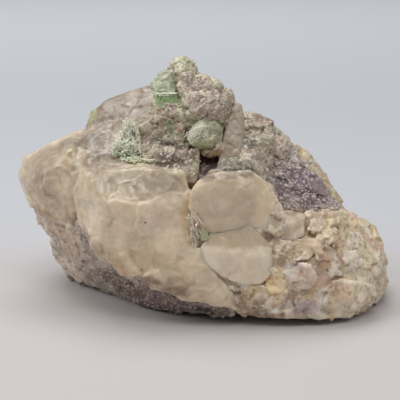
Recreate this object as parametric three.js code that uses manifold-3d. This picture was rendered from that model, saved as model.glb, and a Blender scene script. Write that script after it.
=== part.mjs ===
// A pollucite hand specimen: a loose rock of massive pollucite grown together with lepidolite and albite,
// with crystals of pollucite and green tourmaline and one long blade seated in it.
// Millimetres, +Z up. The origin is on the floor, under the middle of the specimen's box. +X is to the right
// when the specimen is seen from its front, and the front faces -Y.
import * as THREE from "three";
import { ConvexGeometry } from "three/addons/geometries/ConvexGeometry.js";
import { mergeVertices } from "three/addons/utils/BufferGeometryUtils.js";
import Module from "manifold-3d";

const wasm = await Module();
wasm.setup();

// Driving dimensions
const LENGTH = 124; // of the whole specimen, from left to right
const DOME_RADIUS = 10.5; // of the round part of the pollucite dome
const BLADE_WIDTH = 5.4;
const BLADE_THICKNESS = 3.6;
const TOURMALINE_WIDTH = 8; // of the stout crystal on the crest
const NEEDLE_WIDTH = 2.6; // of one needle of the spray
const SEAT_GAP = 0.3; // left all round a crystal in its socket
const CHIP_KEEP = [0.9, 0.97]; // how far out random chips are knocked off, as a share of a mass's own reach
const CRYSTAL_DETAIL = 4; // subdivisions of the icosahedron that a rounded crystal starts from
const CUTTER = 4 * LENGTH; // side of the block that knocks a face off

const POLLUCITE = { color: 0xb8a88f, roughness: 0.45, metalness: 0 };
const ROCK = { color: 0xa8978a, roughness: 0.8, metalness: 0 };
const TOURMALINE = { color: 0x95a57e, roughness: 0.35, metalness: 0 };
const BLADE = { color: 0x998d7d, roughness: 0.3, metalness: 0 };

const radians = THREE.MathUtils.degToRad;

// The direction that a face looks in: azimuth 0 is the front and 90 the right; elevation is over the horizon.
function direction(azimuth, elevation) {
  const flat = Math.cos(radians(elevation));
  return new THREE.Vector3(
    Math.sin(radians(azimuth)) * flat,
    -Math.cos(radians(azimuth)) * flat,
    Math.sin(radians(elevation)),
  );
}

// A small seeded random generator, so that every build knocks off the same chips.
function seeded(seed) {
  let state = seed;
  return () => {
    state = (state + 0x6d2b79f5) | 0;
    let mixed = Math.imul(state ^ (state >>> 15), 1 | state);
    mixed = (mixed + Math.imul(mixed ^ (mixed >>> 7), 61 | mixed)) ^ mixed;
    return ((mixed ^ (mixed >>> 14)) >>> 0) / 2 ** 32;
  };
}

function solidOf(geometry) {
  const bare = geometry.index ? geometry.toNonIndexed() : geometry.clone();
  bare.deleteAttribute("normal");
  bare.deleteAttribute("uv");
  const merged = mergeVertices(bare, 1e-4);
  return new wasm.Manifold(
    new wasm.Mesh({
      numProp: 3,
      vertProperties: new Float32Array(merged.attributes.position.array),
      triVerts: new Uint32Array(merged.index.array),
    }),
  );
}

function geometryOf(solid) {
  const mesh = solid.getMesh();
  const positions = new Float32Array(mesh.numVert * 3);
  for (let i = 0; i < mesh.numVert; i++) {
    positions.set(mesh.vertProperties.subarray(i * mesh.numProp, i * mesh.numProp + 3), i * 3);
  }
  const geometry = new THREE.BufferGeometry();
  geometry.setAttribute("position", new THREE.BufferAttribute(positions, 3));
  geometry.setIndex(new THREE.BufferAttribute(mesh.triVerts, 1));
  const faceted = geometry.toNonIndexed();
  faceted.computeVertexNormals();
  return faceted;
}

// Knocks off all that lies beyond a plane, given by a point on it and the way it faces.
function knockOff(solid, point, normal) {
  const block = new THREE.BoxGeometry(CUTTER, CUTTER, CUTTER);
  block.translate(0, 0, CUTTER / 2);
  block.applyQuaternion(new THREE.Quaternion().setFromUnitVectors(new THREE.Vector3(0, 0, 1), normal));
  block.translate(point.x, point.y, point.z);
  return solid.subtract(solidOf(block));
}

// How far a geometry reaches from the origin in a direction.
function reach(geometry, normal) {
  const places = geometry.attributes.position;
  const place = new THREE.Vector3();
  let far = 0;
  for (let i = 0; i < places.count; i++) {
    far = Math.max(far, place.fromBufferAttribute(places, i).dot(normal));
  }
  return far;
}

// A solid of a geometry that is modelled about the origin, with flat chips knocked off it, put at its centre.
function chipped(geometry, centre, chips, seed, grow) {
  const random = seeded(seed);
  let solid = solidOf(geometry);
  for (let i = 0; i < chips; i++) {
    const normal = direction(360 * random(), THREE.MathUtils.radToDeg(Math.asin(2 * random() - 1)));
    const keep = THREE.MathUtils.lerp(CHIP_KEEP[0], CHIP_KEEP[1], random());
    const distance = keep * (reach(geometry, normal) - grow) + grow;
    solid = knockOff(solid, normal.clone().multiplyScalar(distance), normal);
  }
  return solid.translate(centre.x, centre.y, centre.z);
}

// A rounded block: a sphere pushed part of the way out to the cube round it, then stretched and turned.
function roundedBlock({ centre, half, boxy = 0.25, turn = [0, 0, 0], chips = 0, seed = 1 }, grow = 0) {
  const size = new THREE.Vector3(...half).addScalar(grow);
  const block = new THREE.IcosahedronGeometry(1, CRYSTAL_DETAIL);
  const places = block.attributes.position;
  const place = new THREE.Vector3();
  for (let i = 0; i < places.count; i++) {
    place.fromBufferAttribute(places, i);
    const toCube = 1 / Math.max(Math.abs(place.x), Math.abs(place.y), Math.abs(place.z));
    place.multiplyScalar(1 + boxy * (toCube - 1)).multiply(size);
    places.setXYZ(i, place.x, place.y, place.z);
  }
  block.applyQuaternion(new THREE.Quaternion().setFromEuler(new THREE.Euler(...turn.map(radians))));
  return chipped(block, new THREE.Vector3(...centre), chips, seed, grow);
}

// A mass of mineral with flat broken faces between its corners, and flat chips off its edges. Corners move
// out by twice what the mass grows, because a face moves less than the corners round it.
function brokenMass({ corners, chips = 0, seed = 1 }, grow = 0) {
  const points = corners.map((corner) => new THREE.Vector3(...corner));
  const centre = points.reduce((sum, point) => sum.add(point), new THREE.Vector3());
  centre.divideScalar(points.length);
  const outward = points.map((point) => {
    const arm = point.clone().sub(centre);
    return arm.setLength(arm.length() + 2 * grow);
  });
  return chipped(new ConvexGeometry(outward), centre, chips, seed, grow);
}

// A crystal prism from foot to tip: a flattened polygon section that narrows to taper, rolled about its axis.
function prism({ foot, tip, roll = 0, width, thickness, sides = 6, taper = 1 }, grow = 0) {
  const along = new THREE.Vector3(...tip).sub(new THREE.Vector3(...foot));
  const shaft = new THREE.CylinderGeometry(taper, 1, along.length() + 2 * grow, sides);
  shaft.rotateX(Math.PI / 2);
  shaft.translate(0, 0, along.length() / 2);
  shaft.scale(width / 2 + grow, thickness / 2 + grow, 1);
  shaft.rotateZ(radians(roll));
  along.normalize();
  shaft.applyQuaternion(new THREE.Quaternion().setFromUnitVectors(new THREE.Vector3(0, 0, 1), along));
  shaft.translate(...foot);
  return solidOf(shaft);
}

function joined(solids) {
  return solids.reduce((whole, next) => whole.add(next));
}

// The one body that is left when crumbs cut loose by a socket are dropped.
function largest(solid) {
  return solid.decompose().reduce((best, next) => (next.volume() > best.volume() ? next : best));
}

// The rock's masses, each by the corners of its broken faces, from the left end to the right, then the back.
const ROCK_MASSES = [
  { // pollucite lobe that hangs out at the left
    chips: 4, seed: 11,
    corners: [
      [-62, 2, 42], [-60, 4, 47], [-53, 6, 50], [-40, 8, 56], [-59, 0, 34], [-57, -1, 30], [-50, -8, 30],
      [-42, -15, 27], [-40, -20, 41], [-42, -15, 53], [-55, -10, 42], [-47, -16, 48], [-59, 18, 40],
      [-52, 20, 46], [-40, 26, 50], [-45, 22, 26], [-30, 5, 30],
    ],
  },
  { // sloping pollucite mass behind the ledge
    chips: 3, seed: 23,
    corners: [
      [-40, 6, 56], [-38, 6, 62], [-33, 6, 66], [-24, 8, 69], [-18, 8, 71], [-12, 6, 71], [-41, -13, 51],
      [-32, -18, 51], [-21, -20, 51], [-16, -14, 54], [-37, 24, 54], [-22, 28, 63], [-5, 22, 62],
      [-10, 0, 45], [-35, 10, 40], [-38, -12, 44], [-20, -14, 44],
    ],
  },
  { // the big pollucite mass of the front
    chips: 4, seed: 37,
    corners: [
      [-39, -21, 48.6], [-31, -27, 50.2], [-16, -31, 51], [-6, -28, 49], [-4, -30, 43], [-8, -35, 38],
      [-2, -35, 26], [-42, -20, 41], [-41, -20, 32], [-37, -26, 27], [-34, -28, 21], [-27, -32, 19],
      [-17, -34, 14], [-7, -35, 10], [1, -35, 9], [-29, -36, 42], [-16, -38, 41], [-23, -38, 29],
      [-12, -39, 25], [-32, -32, 33], [-30, 0, 48], [-8, 0, 48], [-35, 0, 30], [0, -5, 10],
    ],
  },
  { // tongue of pollucite under the big mass
    chips: 2, seed: 41,
    corners: [
      [-4, -36, 25], [1, -38, 23], [6, -38, 16], [12, -33, 5], [1, -36, 8], [-12, -35, 12], [-17, -37, 20],
      [9, -37, 12], [-5, -39, 17], [1, -38, 15], [-1, -36, 27], [0, -5, 7], [10, -10, 15], [-15, -5, 15],
    ],
  },
  { // wall of lepidolite under the lobe
    chips: 2, seed: 47,
    corners: [
      [-57, 0, 30], [-56, 3, 24], [-53, 6, 19], [-50, 9, 14], [-42, -14, 31], [-37, -20, 27], [-34, -21, 21],
      [-54, 20, 32], [-46, 26, 16], [-20, 0, 10], [-30, 10, 34],
    ],
  },
  { // lepidolite foot of the left half
    chips: 3, seed: 53,
    corners: [
      [-53, 8, 17], [-51, 12, 9], [-48, 15, 3], [-45, 18, -1], [-37, 12, -2], [-28, 2, -2], [-24, -10, 1],
      [-20, -15, 1], [-12, -22, 2], [-7, -25, 3], [-2, -28, 4], [4, -31, 4], [10, -31, 4], [-8, -8, -1],
      [8, -12, -1], [-35, -20, 22], [-24, -26, 17], [-12, -30, 11], [-1, -32, 7], [10, -31, 6], [-48, 24, 18],
      [-42, 32, 14], [-36, 34, -1], [20, 20, 20],
    ],
  },
  { // crest of lepidolite and albite
    chips: 4, seed: 61,
    corners: [
      [-9, -8, 74], [-2, 2, 76], [1, 3, 73], [5, 3, 72], [8, 3, 67], [12, 2, 66], [12, -4, 62], [-7, -12, 67],
      [-1, -12, 71], [6, -12, 67], [1, -14, 62], [8, -12, 59], [-6, -13, 60], [-6, 14, 72], [8, 14, 66],
      [0, 12, 55], [-10, 8, 60],
    ],
  },
  { // the knob on top of the crest
    chips: 2, seed: 67,
    corners: [
      [-12, 2, 75], [-11, 2, 79], [-8, 3, 81], [-6, 3, 81], [-3, 3, 79], [-2, 2, 76], [-9, -4, 74],
      [-6, -5, 76], [-4, -5, 74], [-10, 9, 78], [-4, 10, 78], [-14, 4, 68], [0, 4, 68], [-7, -8, 68],
      [-7, 14, 68],
    ],
  },
  { // mottled ground between the ledge and the crest
    chips: 3, seed: 71,
    corners: [
      [-18, -12, 64], [-15, -7, 69], [-8, -8, 68], [-17, -19, 54], [-7, -18, 54], [-20, -15, 58],
      [-15, -23, 50], [-5, -24, 49], [-5, 0, 60], [-16, 0, 62], [0, -8, 48],
    ],
  },
  { // small nub at the end of the ledge
    chips: 2, seed: 73,
    corners: [
      [-6, -21, 53], [-3.6, -20, 55.4], [-1.4, -22, 53], [-1, -25, 48.6], [-3, -28, 45.6], [-7, -27, 46.4],
      [-4, -14, 48], [-2, -14, 54],
    ],
  },
  { // block that lies along the ledge
    chips: 0, seed: 75,
    corners: [
      [-21, -19, 52.5], [-12, -19, 55], [-5, -20, 53.6], [-4, -26, 47], [-10, -27, 47.5], [-19, -23.5, 49.6],
      [-12, -14, 51], [-6, -14, 50], [-14, -22.6, 53.6],
    ],
  },
  { // low shelf at the left of the ledge
    chips: 0, seed: 77,
    corners: [
      [-41, -15, 50], [-37, -21, 49], [-31, -24, 49.8], [-22, -26, 50], [-15, -26, 49.6], [-40, -8, 54],
      [-31, -14, 53], [-20, -16, 50.4], [-30, 0, 45], [-14, -14, 47],
    ],
  },
  { // shoulder that the blade leans on
    chips: 3, seed: 79,
    corners: [
      [13, 3, 62], [19, 4, 62], [23, 4, 58], [26, 4, 56], [13, -7, 57], [14, -14, 50], [11, -18, 44],
      [19, -19, 45], [18, -12, 54], [23, -12, 51], [14, 16, 60], [24, 14, 54], [10, 0, 40], [20, 0, 35],
    ],
  },
  { // granular lepidolite slope of the right
    chips: 3, seed: 83,
    corners: [
      [23, 4, 58], [30, 5, 51], [35, 5, 48], [39, 5, 45], [41, 4, 42], [44, 3, 38], [46, 1, 33], [47, -1, 30],
      [19, -18, 45], [24, -22, 36], [32, -20, 34], [44, -12, 32], [32, -8, 47], [38, -8, 40], [28, 20, 48],
      [40, 18, 36], [15, 0, 30], [46, 12, 26],
    ],
  },
  { // albite block of the right end
    chips: 4, seed: 97,
    corners: [
      [47, -2, 31], [50, -3, 29], [54, -3, 27], [57, -5, 26], [59, -9, 21], [61, -11, 16], [62, -10, 8],
      [62, -9, 3], [60, -9, -1], [56, -16, 1], [53, -22, 1], [50, -12, -1], [47, -30, 2], [42, -33, 2],
      [36, -34, 3], [31, -35, 3], [21, -35, 4], [12, -32, 4], [44, -18, -1], [18, -16, -1], [23, -23, 35],
      [32, -24, 34], [44, -18, 30], [30, -27, 27], [18, -31, 12], [28, -36, 22], [34, -36, 22], [45, -31, 19],
      [52, -28, 12], [28, -36, 10], [40, -33, 8], [62, 6, 8], [60, 14, 16], [50, 16, 23], [56, 21, -1],
      [20, -10, 2],
    ],
  },
  { // crumbly albite between the tongue and the block
    chips: 0, seed: 99,
    corners: [
      [6, -35, 13], [7, -33, 9], [8, -32, 4], [17, -34, 4], [24, -36, 4], [27, -36, 12], [20, -37, 15],
      [14, -37, 14], [10, -20, 6], [24, -20, 8],
    ],
  },
  { // albite that the dome and the wedge are bedded in
    chips: 0, seed: 100,
    corners: [
      [2, -34, 30], [1, -35, 24], [2, -36, 17], [6, -34, 33], [16, -33, 33], [22, -31, 36], [25, -29, 40],
      [26, -30, 31], [28, -32, 25], [25, -35, 19], [16, -36, 14], [8, -36, 13], [20, -25, 45], [4, -20, 30],
      [24, -20, 20],
    ],
  },
  { // rim of rock over the dome
    chips: 0, seed: 81,
    corners: [
      [3, -30, 49], [7, -31, 50], [11, -31, 51], [4, -26, 51], [9, -24, 52], [12, -22, 53], [5, -20, 50],
      [10, -18, 48], [10, -27, 45],
    ],
  },
  { // rough slope that climbs from the rim to the shoulder
    chips: 0, seed: 82,
    corners: [
      [10, -30, 50], [14, -30, 51], [18, -29, 49], [19, -28, 46], [12, -24, 54], [14, -16, 57], [18, -15, 56],
      [20, -19, 51], [21, -22, 46], [12, -13, 52], [20, -12, 50],
    ],
  },
  { // heart of the rock, which fills in between the masses of the front
    chips: 0, seed: 101,
    corners: [
      [-36, -12, 20], [-10, -22, 8], [14, -29, 7], [40, -26, 7], [50, -8, 22], [40, 4, 38], [20, -12, 46],
      [-2, -20, 46], [-34, -12, 44], [-36, 8, 52], [-12, 8, 62], [12, 6, 58], [-30, 20, -1], [40, 20, -1],
      [-10, -10, -1], [44, -14, -1],
    ],
  },
  { // back of the left half
    chips: 6, seed: 109,
    corners: [
      [-59, 16, 38], [-52, 28, 44], [-38, 35, 50], [-22, 37, 55], [-6, 36, 57], [2, 38, 40], [-2, 39, 20],
      [-30, 38, 14], [-48, 33, 14], [-36, 35, -1], [2, 37, -1], [-12, 10, 66], [-30, 8, 60], [-10, 0, 10],
    ],
  },
  { // back of the crest
    chips: 4, seed: 111,
    corners: [
      [-9, 10, 76], [1, 12, 74], [10, 12, 66], [-15, 20, 66], [-9, 33, 58], [5, 34, 57], [14, 27, 56],
      [4, 38, 45], [-8, 38, 42], [14, 36, 40], [0, 0, 40],
    ],
  },
  { // back of the right half
    chips: 6, seed: 113,
    corners: [
      [47, -2, 31], [51, 18, 23], [57, 22, 8], [46, 34, 10], [26, 38, 18], [6, 39, 30], [2, 38, 46],
      [14, 30, 55], [30, 24, 48], [40, 16, 40], [34, 35, -1], [0, 37, -1], [54, 23, -1], [58, 0, 10],
      [6, 12, 66], [0, 0, 20],
    ],
  },
];

// The dark pit between the crest and the dome, which opens to the front.
const PIT = { centre: [2.4, -20, 49], half: [3.4, 5.4, 3.6], turn: [-12, 0, 0] };

// The two grown-together parts of the dome: the round one, and the cracked one on its right.
const DOME_PARTS = [
  { centre: [5.8, -30, 40], half: [DOME_RADIUS, 7.4, DOME_RADIUS], boxy: 0.05, chips: 2, seed: 127 },
  { centre: [15.4, -26.4, 40], half: [8, 7.4, 10.4], boxy: 0.35, chips: 6, seed: 129 },
];

const WEDGE = {
  corners: [
    [-1.6, -36.4, 25.4], [0.2, -35, 29], [3, -34.2, 32.8], [9, -34.4, 34.4], [15, -34, 33.2],
    [18, -34, 29.4], [22.8, -33.4, 25.8], [23.2, -34.4, 22], [7, -38.6, 26.4], [15, -38.4, 24.6],
    [-0.4, -37.4, 23.4], [2, -38, 20.6], [5.4, -38.1, 18], [9, -38, 16.2], [13, -37.6, 15],
    [18.4, -37, 15.2], [21.6, -36.2, 18], [4, -20, 20], [22, -20, 20], [14, -20, 14],
  ],
};

// The needles of the spray: [x of foot and tip, height of the tip].
const SPRAY = [[-28, 59.5], [-26, 63.5], [-24, 64.5], [-22, 61], [-20.2, 56]];
const SPRAY_FOOT = { y: -18, z: 49 };
const SPRAY_TIP_Y = -15;

const STUB = {
  chips: 3, seed: 151,
  corners: [
    [-5.6, -15.5, 57.4], [-3.6, -14.5, 61.3], [0, -13, 63.2], [4.1, -12.5, 62.7], [6.6, -13, 60],
    [5.8, -14.5, 55.8], [2.8, -17, 54], [-1, -17.6, 54], [-4.4, -16.6, 55.4], [-1.6, -19.2, 57.6],
    [2.6, -18.8, 57], [0.4, -17.4, 61.2], [0, -7, 60], [4, -7, 57], [-3, -8, 56],
  ],
};

// How each crystal is made, grown by nothing for the crystal itself or by the gap for its socket.
const CRYSTALS = {
  pollucite_dome: (grow) => joined(DOME_PARTS.map((part) => roundedBlock(part, grow))),
  pollucite_wedge: (grow) => brokenMass(WEDGE, grow),
  blade_crystal: (grow) => prism({
    foot: [7.5, -18, 43], tip: [11, -5, 67], roll: 12, width: BLADE_WIDTH, thickness: BLADE_THICKNESS,
    taper: 0.85,
  }, grow),
  tourmaline_crest: (grow) => prism({
    foot: [-13, -6, 65], tip: [-13.5, -3.5, 76], roll: 20, width: TOURMALINE_WIDTH,
    thickness: TOURMALINE_WIDTH, sides: 9, taper: 0.86,
  }, grow),
  tourmaline_spray: (grow) => joined(SPRAY.map(([x, top]) => prism({
    foot: [x, SPRAY_FOOT.y, SPRAY_FOOT.z], tip: [x, SPRAY_TIP_Y, top], width: NEEDLE_WIDTH,
    thickness: 1.6 * NEEDLE_WIDTH, taper: 0.8,
  }, grow))),
  tourmaline_stub: (grow) => brokenMass(STUB, grow),
  tourmaline_splinter: (grow) => prism({
    foot: [-0.5, -25, 30], tip: [-0.5, -35.5, 29.5], width: 4.4, thickness: 7, taper: 0.7,
  }, grow),
};

const FINISHES = {
  pollucite_dome: POLLUCITE,
  pollucite_wedge: POLLUCITE,
  blade_crystal: BLADE,
  tourmaline_crest: TOURMALINE,
  tourmaline_spray: TOURMALINE,
  tourmaline_stub: TOURMALINE,
  tourmaline_splinter: TOURMALINE,
};

function named(name, solid, finish) {
  const mesh = new THREE.Mesh(geometryOf(solid), new THREE.MeshStandardMaterial(finish));
  mesh.name = name;
  return mesh;
}

// Every crystal is seated in the rock, and clear of the crystals that were seated before it.
const specimen = new THREE.Group();
const whole = joined(ROCK_MASSES.map((shape) => brokenMass(shape))).subtract(roundedBlock(PIT));
let rock = knockOff(whole, new THREE.Vector3(0, 0, 0), direction(0, -90));
const sockets = [];
for (const [name, make] of Object.entries(CRYSTALS)) {
  const crystal = sockets.reduce((solid, socket) => solid.subtract(socket), make(0));
  specimen.add(named(name, largest(crystal), FINISHES[name]));
  sockets.push(make(SEAT_GAP));
}
rock = sockets.reduce((solid, socket) => solid.subtract(socket), rock);
specimen.add(named("rock", largest(rock), ROCK));

export default specimen;
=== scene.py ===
"""Blender scene of a pollucite hand specimen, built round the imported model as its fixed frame.

The rock is built mineral by mineral. Each mass of pollucite, lepidolite or albite is a closed piece of its
own, by the corners of its broken faces, with the relief of its own way of breaking, and the crystals are
seated in them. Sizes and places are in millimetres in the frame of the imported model: +Z is up, +X is to the
right when the specimen is seen from its front, and the front faces -Y.
"""

from __future__ import annotations

import logging
import math
import random
from dataclasses import dataclass, replace
from enum import Enum
from functools import cache
from typing import Any, Iterable

import bpy
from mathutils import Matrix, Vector


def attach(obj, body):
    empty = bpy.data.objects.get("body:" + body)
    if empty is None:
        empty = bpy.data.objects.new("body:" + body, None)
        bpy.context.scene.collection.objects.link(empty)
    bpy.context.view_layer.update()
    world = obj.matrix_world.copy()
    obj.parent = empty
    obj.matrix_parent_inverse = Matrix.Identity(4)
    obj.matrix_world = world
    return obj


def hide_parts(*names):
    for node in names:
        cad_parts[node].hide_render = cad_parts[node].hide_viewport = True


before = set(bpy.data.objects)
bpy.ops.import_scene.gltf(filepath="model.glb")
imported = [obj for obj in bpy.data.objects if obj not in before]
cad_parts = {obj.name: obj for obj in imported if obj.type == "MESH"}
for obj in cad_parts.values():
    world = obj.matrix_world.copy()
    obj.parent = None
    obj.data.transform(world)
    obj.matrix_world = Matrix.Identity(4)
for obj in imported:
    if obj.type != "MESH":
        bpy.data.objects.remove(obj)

LOG = logging.getLogger("pollucite_specimen")
MM = 0.001
ROOT = "root"
TONE = "crystal_tone"

Point = tuple[float, float, float]
Tint = tuple[int, int, int]
Span = tuple[float, float]

# How deep the ball that rounds a corner sits in it, in radii.
BALL_DEPTH = 1.25

# How far out chips are knocked off, as shares of a solid's own reach.
HULL_CHIPS: Span = (0.88, 0.96)
LUMP_CHIPS: Span = (0.8, 0.95)
CRYSTAL_CHIPS: Span = (0.7, 0.9)

# How a broken surface reads: the lift of its patterns, and how far the cells of two of them stray from
# even ones, as a share of their size.
SWELL_LIFT = 3.0
FACET_LIFT = 2.0
FACET_STRAY = 0.7
GRAIN_STRAY = 0.4

# How zones fray at their edges, in mm: the size of the fringes and how deep they reach.
FRINGE_SIZE = 3
FRINGE_DEPTH = 4

# Healed cracks: the size in mm of their loops, and their width as a share of it.
CRACKS = ((11.0, 0.012), (4.5, 0.02))

# How far the ground juts out or dips, with 0.5 where it is flat: where ridges start to lighten, with pale
# wear and a painted highlight, and where they are fully lightened; and where crevices are fully darkened,
# with dirt and painted shade, and where that darkening ends.
EDGE_WEAR_AND_HIGHLIGHT: Span = (0.505, 0.56)
CREVICE_DIRT_AND_SHADE: Span = (0.44, 0.497)

# From what depth of their tones grains also stand out of the surface, and how far, beside its bumps.
GRAINS_STAND_FROM = 0.04
GRAINS_STAND = 1.2

# Every mineral's gloss, the roughness of the coat on the glossy ones, and how far red, green and blue
# light spread in the milky ones.
GLOSS = 0.4
COAT_ROUGHNESS = 0.22
MILK_SPREAD: Point = (1.0, 0.8, 0.6)

# A patch that covers a whole mass: how far it reaches from the middle as a share of the mass's width, how
# strongly it shows and how softly it ends.
COVER_REACH = 0.62
COVER_STRENGTH = 0.8
COVER_SOFT = 0.3

# Strewn crystals: how many kinds each piece has, the shape of one, the height in mm above which they
# lie, and the size in mm of the clumps that they lie in.
KINDS = 3
CRYSTAL_SHAPE = (1, 0.8, 1)
STREWN_ABOVE = 1.0
CLUMP_SIZE = 4.0

# Needles: the sides of one, its tip as a share of its foot, and how they crowd to the middle of their
# ball, which 1/3 would fill evenly.
NEEDLE_SIDES = 5
NEEDLE_TIP = 0.45
CROWDING = 0.4


class Slot(Enum):
    """The record's material slots."""

    POLLUCITE = "pollucite"
    LEPIDOLITE = "lepidolite"
    ALBITE = "albite"
    TOURMALINE = "tourmaline"
    BLADE = "blade"


# ---------------------------------------------------------------------------------------------------------
# Wiring node trees
# ---------------------------------------------------------------------------------------------------------


def linear(tint: Tint) -> tuple[float, float, float, float]:
    """Turn a display tint into a linear colour.

    Args:
        tint: Red, green and blue from 0 to 255, as they look on a screen.

    Returns:
        The linear red, green, blue and an alpha of 1.
    """
    parts = []
    for value in tint:
        share = value / 255
        parts.append(share / 12.92 if share <= 0.04045 else ((share + 0.055) / 1.055) ** 2.4)
    return parts[0], parts[1], parts[2], 1.0


def metres(place: Point) -> list[float]:
    """Turn a place or size in mm into metres."""
    return [value * MM for value in place]


class NodeSheet:
    """A node tree being wired, with one short call for each kind of node."""

    def __init__(self, tree: bpy.types.NodeTree) -> None:
        """Start on a tree.

        Args:
            tree: The node tree that the calls add to.
        """
        self.tree = tree

    def feed(self, socket: bpy.types.NodeSocket, value: Any) -> None:
        """Link a socket's source to it, or set its value.

        Args:
            socket: The input socket.
            value: Another node's output socket, or a plain value; None leaves the socket alone.
        """
        if value is None:
            return
        if isinstance(value, bpy.types.NodeSocket):
            self.tree.links.new(value, socket)
        else:
            socket.default_value = value

    def add(self, kind: str, inputs: dict[Any, Any] | None = None, **settings: Any) -> bpy.types.Node:
        """Add a node.

        Args:
            kind: The node's type name.
            inputs: Values or sources for its input sockets, by name or number.
            settings: The node's own settings.

        Returns:
            The node.
        """
        node = self.tree.nodes.new(kind)
        for name, value in settings.items():
            setattr(node, name, value)
        for key, value in (inputs or {}).items():
            self.feed(node.inputs[key], value)
        return node

    def math(self, operation: str, first: Any, second: Any = None, clamp: bool = False) -> Any:
        """Combine two numbers, and return the result's socket."""
        node = self.add("ShaderNodeMath", {0: first, 1: second}, operation=operation, use_clamp=clamp)
        return node.outputs[0]

    def vector(self, operation: str, first: Any, second: Any = None, scale: Any = None) -> Any:
        """Combine or scale vectors.

        Args:
            operation: The name of the vector operation.
            first: The first vector or its source.
            second: The second vector or its source, where the operation takes one.
            scale: The number that SCALE multiplies by.

        Returns:
            The result's socket.
        """
        node = self.add("ShaderNodeVectorMath", {0: first, 1: second}, operation=operation)
        self.feed(node.inputs[3], scale)
        return node.outputs["Value" if operation in ("DOT_PRODUCT", "LENGTH") else "Vector"]

    def mix(self, share: Any, first: Any, second: Any, blend: str = "MIX") -> Any:
        """Blend the first colour into the second.

        Args:
            share: How much of the second shows, from 0 to 1.
            first: The first colour or its source.
            second: The second colour or its source.
            blend: The name of the blend mode.

        Returns:
            The result's socket.
        """
        node = self.add("ShaderNodeMix", data_type="RGBA", blend_type=blend)
        self.feed(node.inputs[0], share)
        self.feed(node.inputs[6], first)
        self.feed(node.inputs[7], second)
        return node.outputs[2]

    def span(self, value: Any, low: Any, high: Any, to_low: Any = 0.0, to_high: Any = 1.0) -> Any:
        """Map a range of numbers smoothly onto another, and return the result's socket."""
        inputs = {"Value": value, 1: low, 2: high, 3: to_low, 4: to_high}
        return self.add("ShaderNodeMapRange", inputs, interpolation_type="SMOOTHSTEP").outputs[0]

    def steps(self, share: Any, tints: Iterable[Tint]) -> Any:
        """Pick one of several tints by a number.

        Args:
            share: The number, from 0 to 1.
            tints: The tints, each for an equal part of that range.

        Returns:
            The colour's socket.
        """
        tints = list(tints)
        ramp = self.add("ShaderNodeValToRGB", {0: share})
        ramp.color_ramp.interpolation = "CONSTANT"
        stops = ramp.color_ramp.elements
        while len(stops) < len(tints):
            stops.new(1.0)
        for number, (stop, tint) in enumerate(zip(stops, tints)):
            stop.position = number / len(tints)
            stop.color = linear(tint)
        return ramp.outputs["Color"]


def new_group(name: str, kind: str, takes: dict[str, str], gives: dict[str, str]) -> NodeSheet:
    """Start a node group with named inputs and outputs.

    Args:
        name: The group's name.
        kind: The tree's type, such as ShaderNodeTree.
        takes: Input names and the kinds of their sockets, without NodeSocket.
        gives: Output names and the kinds of their sockets.

    Returns:
        A sheet on the new group's tree.
    """
    tree = bpy.data.node_groups.new(name, kind)
    for in_out, sockets in (("INPUT", takes), ("OUTPUT", gives)):
        for label, socket in sockets.items():
            tree.interface.new_socket(label, in_out=in_out, socket_type=f"NodeSocket{socket}")
    return NodeSheet(tree)


# ---------------------------------------------------------------------------------------------------------
# Modelling
# ---------------------------------------------------------------------------------------------------------


def clear_selection() -> None:
    """Leave edit mode if it is on, and select nothing."""
    if bpy.context.object and bpy.context.object.mode != "OBJECT":
        bpy.ops.object.mode_set(mode="OBJECT")
    bpy.ops.object.select_all(action="DESELECT")


def take_up(piece: bpy.types.Object) -> None:
    """Select one piece and make it the active one."""
    clear_selection()
    piece.select_set(True)
    bpy.context.view_layer.objects.active = piece


def edit_all(piece: bpy.types.Object) -> None:
    """Open a piece in edit mode with all of it selected."""
    take_up(piece)
    bpy.ops.object.mode_set(mode="EDIT")
    bpy.ops.mesh.select_all(action="SELECT")


def settle(piece: bpy.types.Object) -> None:
    """Put a piece's place, turn and size into its mesh."""
    take_up(piece)
    bpy.ops.object.transform_apply(location=True, rotation=True, scale=True)


def work(piece: bpy.types.Object, kind: str, **settings: Any) -> None:
    """Add a modifier to a piece and apply it.

    Args:
        piece: The piece to change.
        kind: The modifier's type name.
        settings: The modifier's settings.
    """
    take_up(piece)
    modifier = piece.modifiers.new(kind.title(), kind)
    for name, value in settings.items():
        setattr(modifier, name, value)
    bpy.ops.object.modifier_apply(modifier=modifier.name)


def work_nodes(piece: bpy.types.Object, tree: bpy.types.NodeTree, values: dict[str, Any]) -> None:
    """Add a geometry node group to a piece as a modifier and apply it.

    Args:
        piece: The piece to change.
        tree: The node group.
        values: The group's inputs by their names.
    """
    take_up(piece)
    modifier = piece.modifiers.new("Nodes", "NODES")
    modifier.node_group = tree
    for item in tree.interface.items_tree:
        if item.item_type == "SOCKET" and item.in_out == "INPUT" and item.name in values:
            modifier[item.identifier] = values[item.name]
    bpy.ops.object.modifier_apply(modifier=modifier.name)


def cut_off(piece: bpy.types.Object, point: Vector, facing: Vector) -> None:
    """Cut off what lies beyond a plane and close the cut.

    Args:
        piece: The piece to cut.
        point: A point on the plane, in metres.
        facing: The way the plane faces; what is in front of it goes.
    """
    edit_all(piece)
    bpy.ops.mesh.bisect(plane_co=point, plane_no=facing, use_fill=True, clear_outer=True)
    bpy.ops.object.mode_set(mode="OBJECT")


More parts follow.
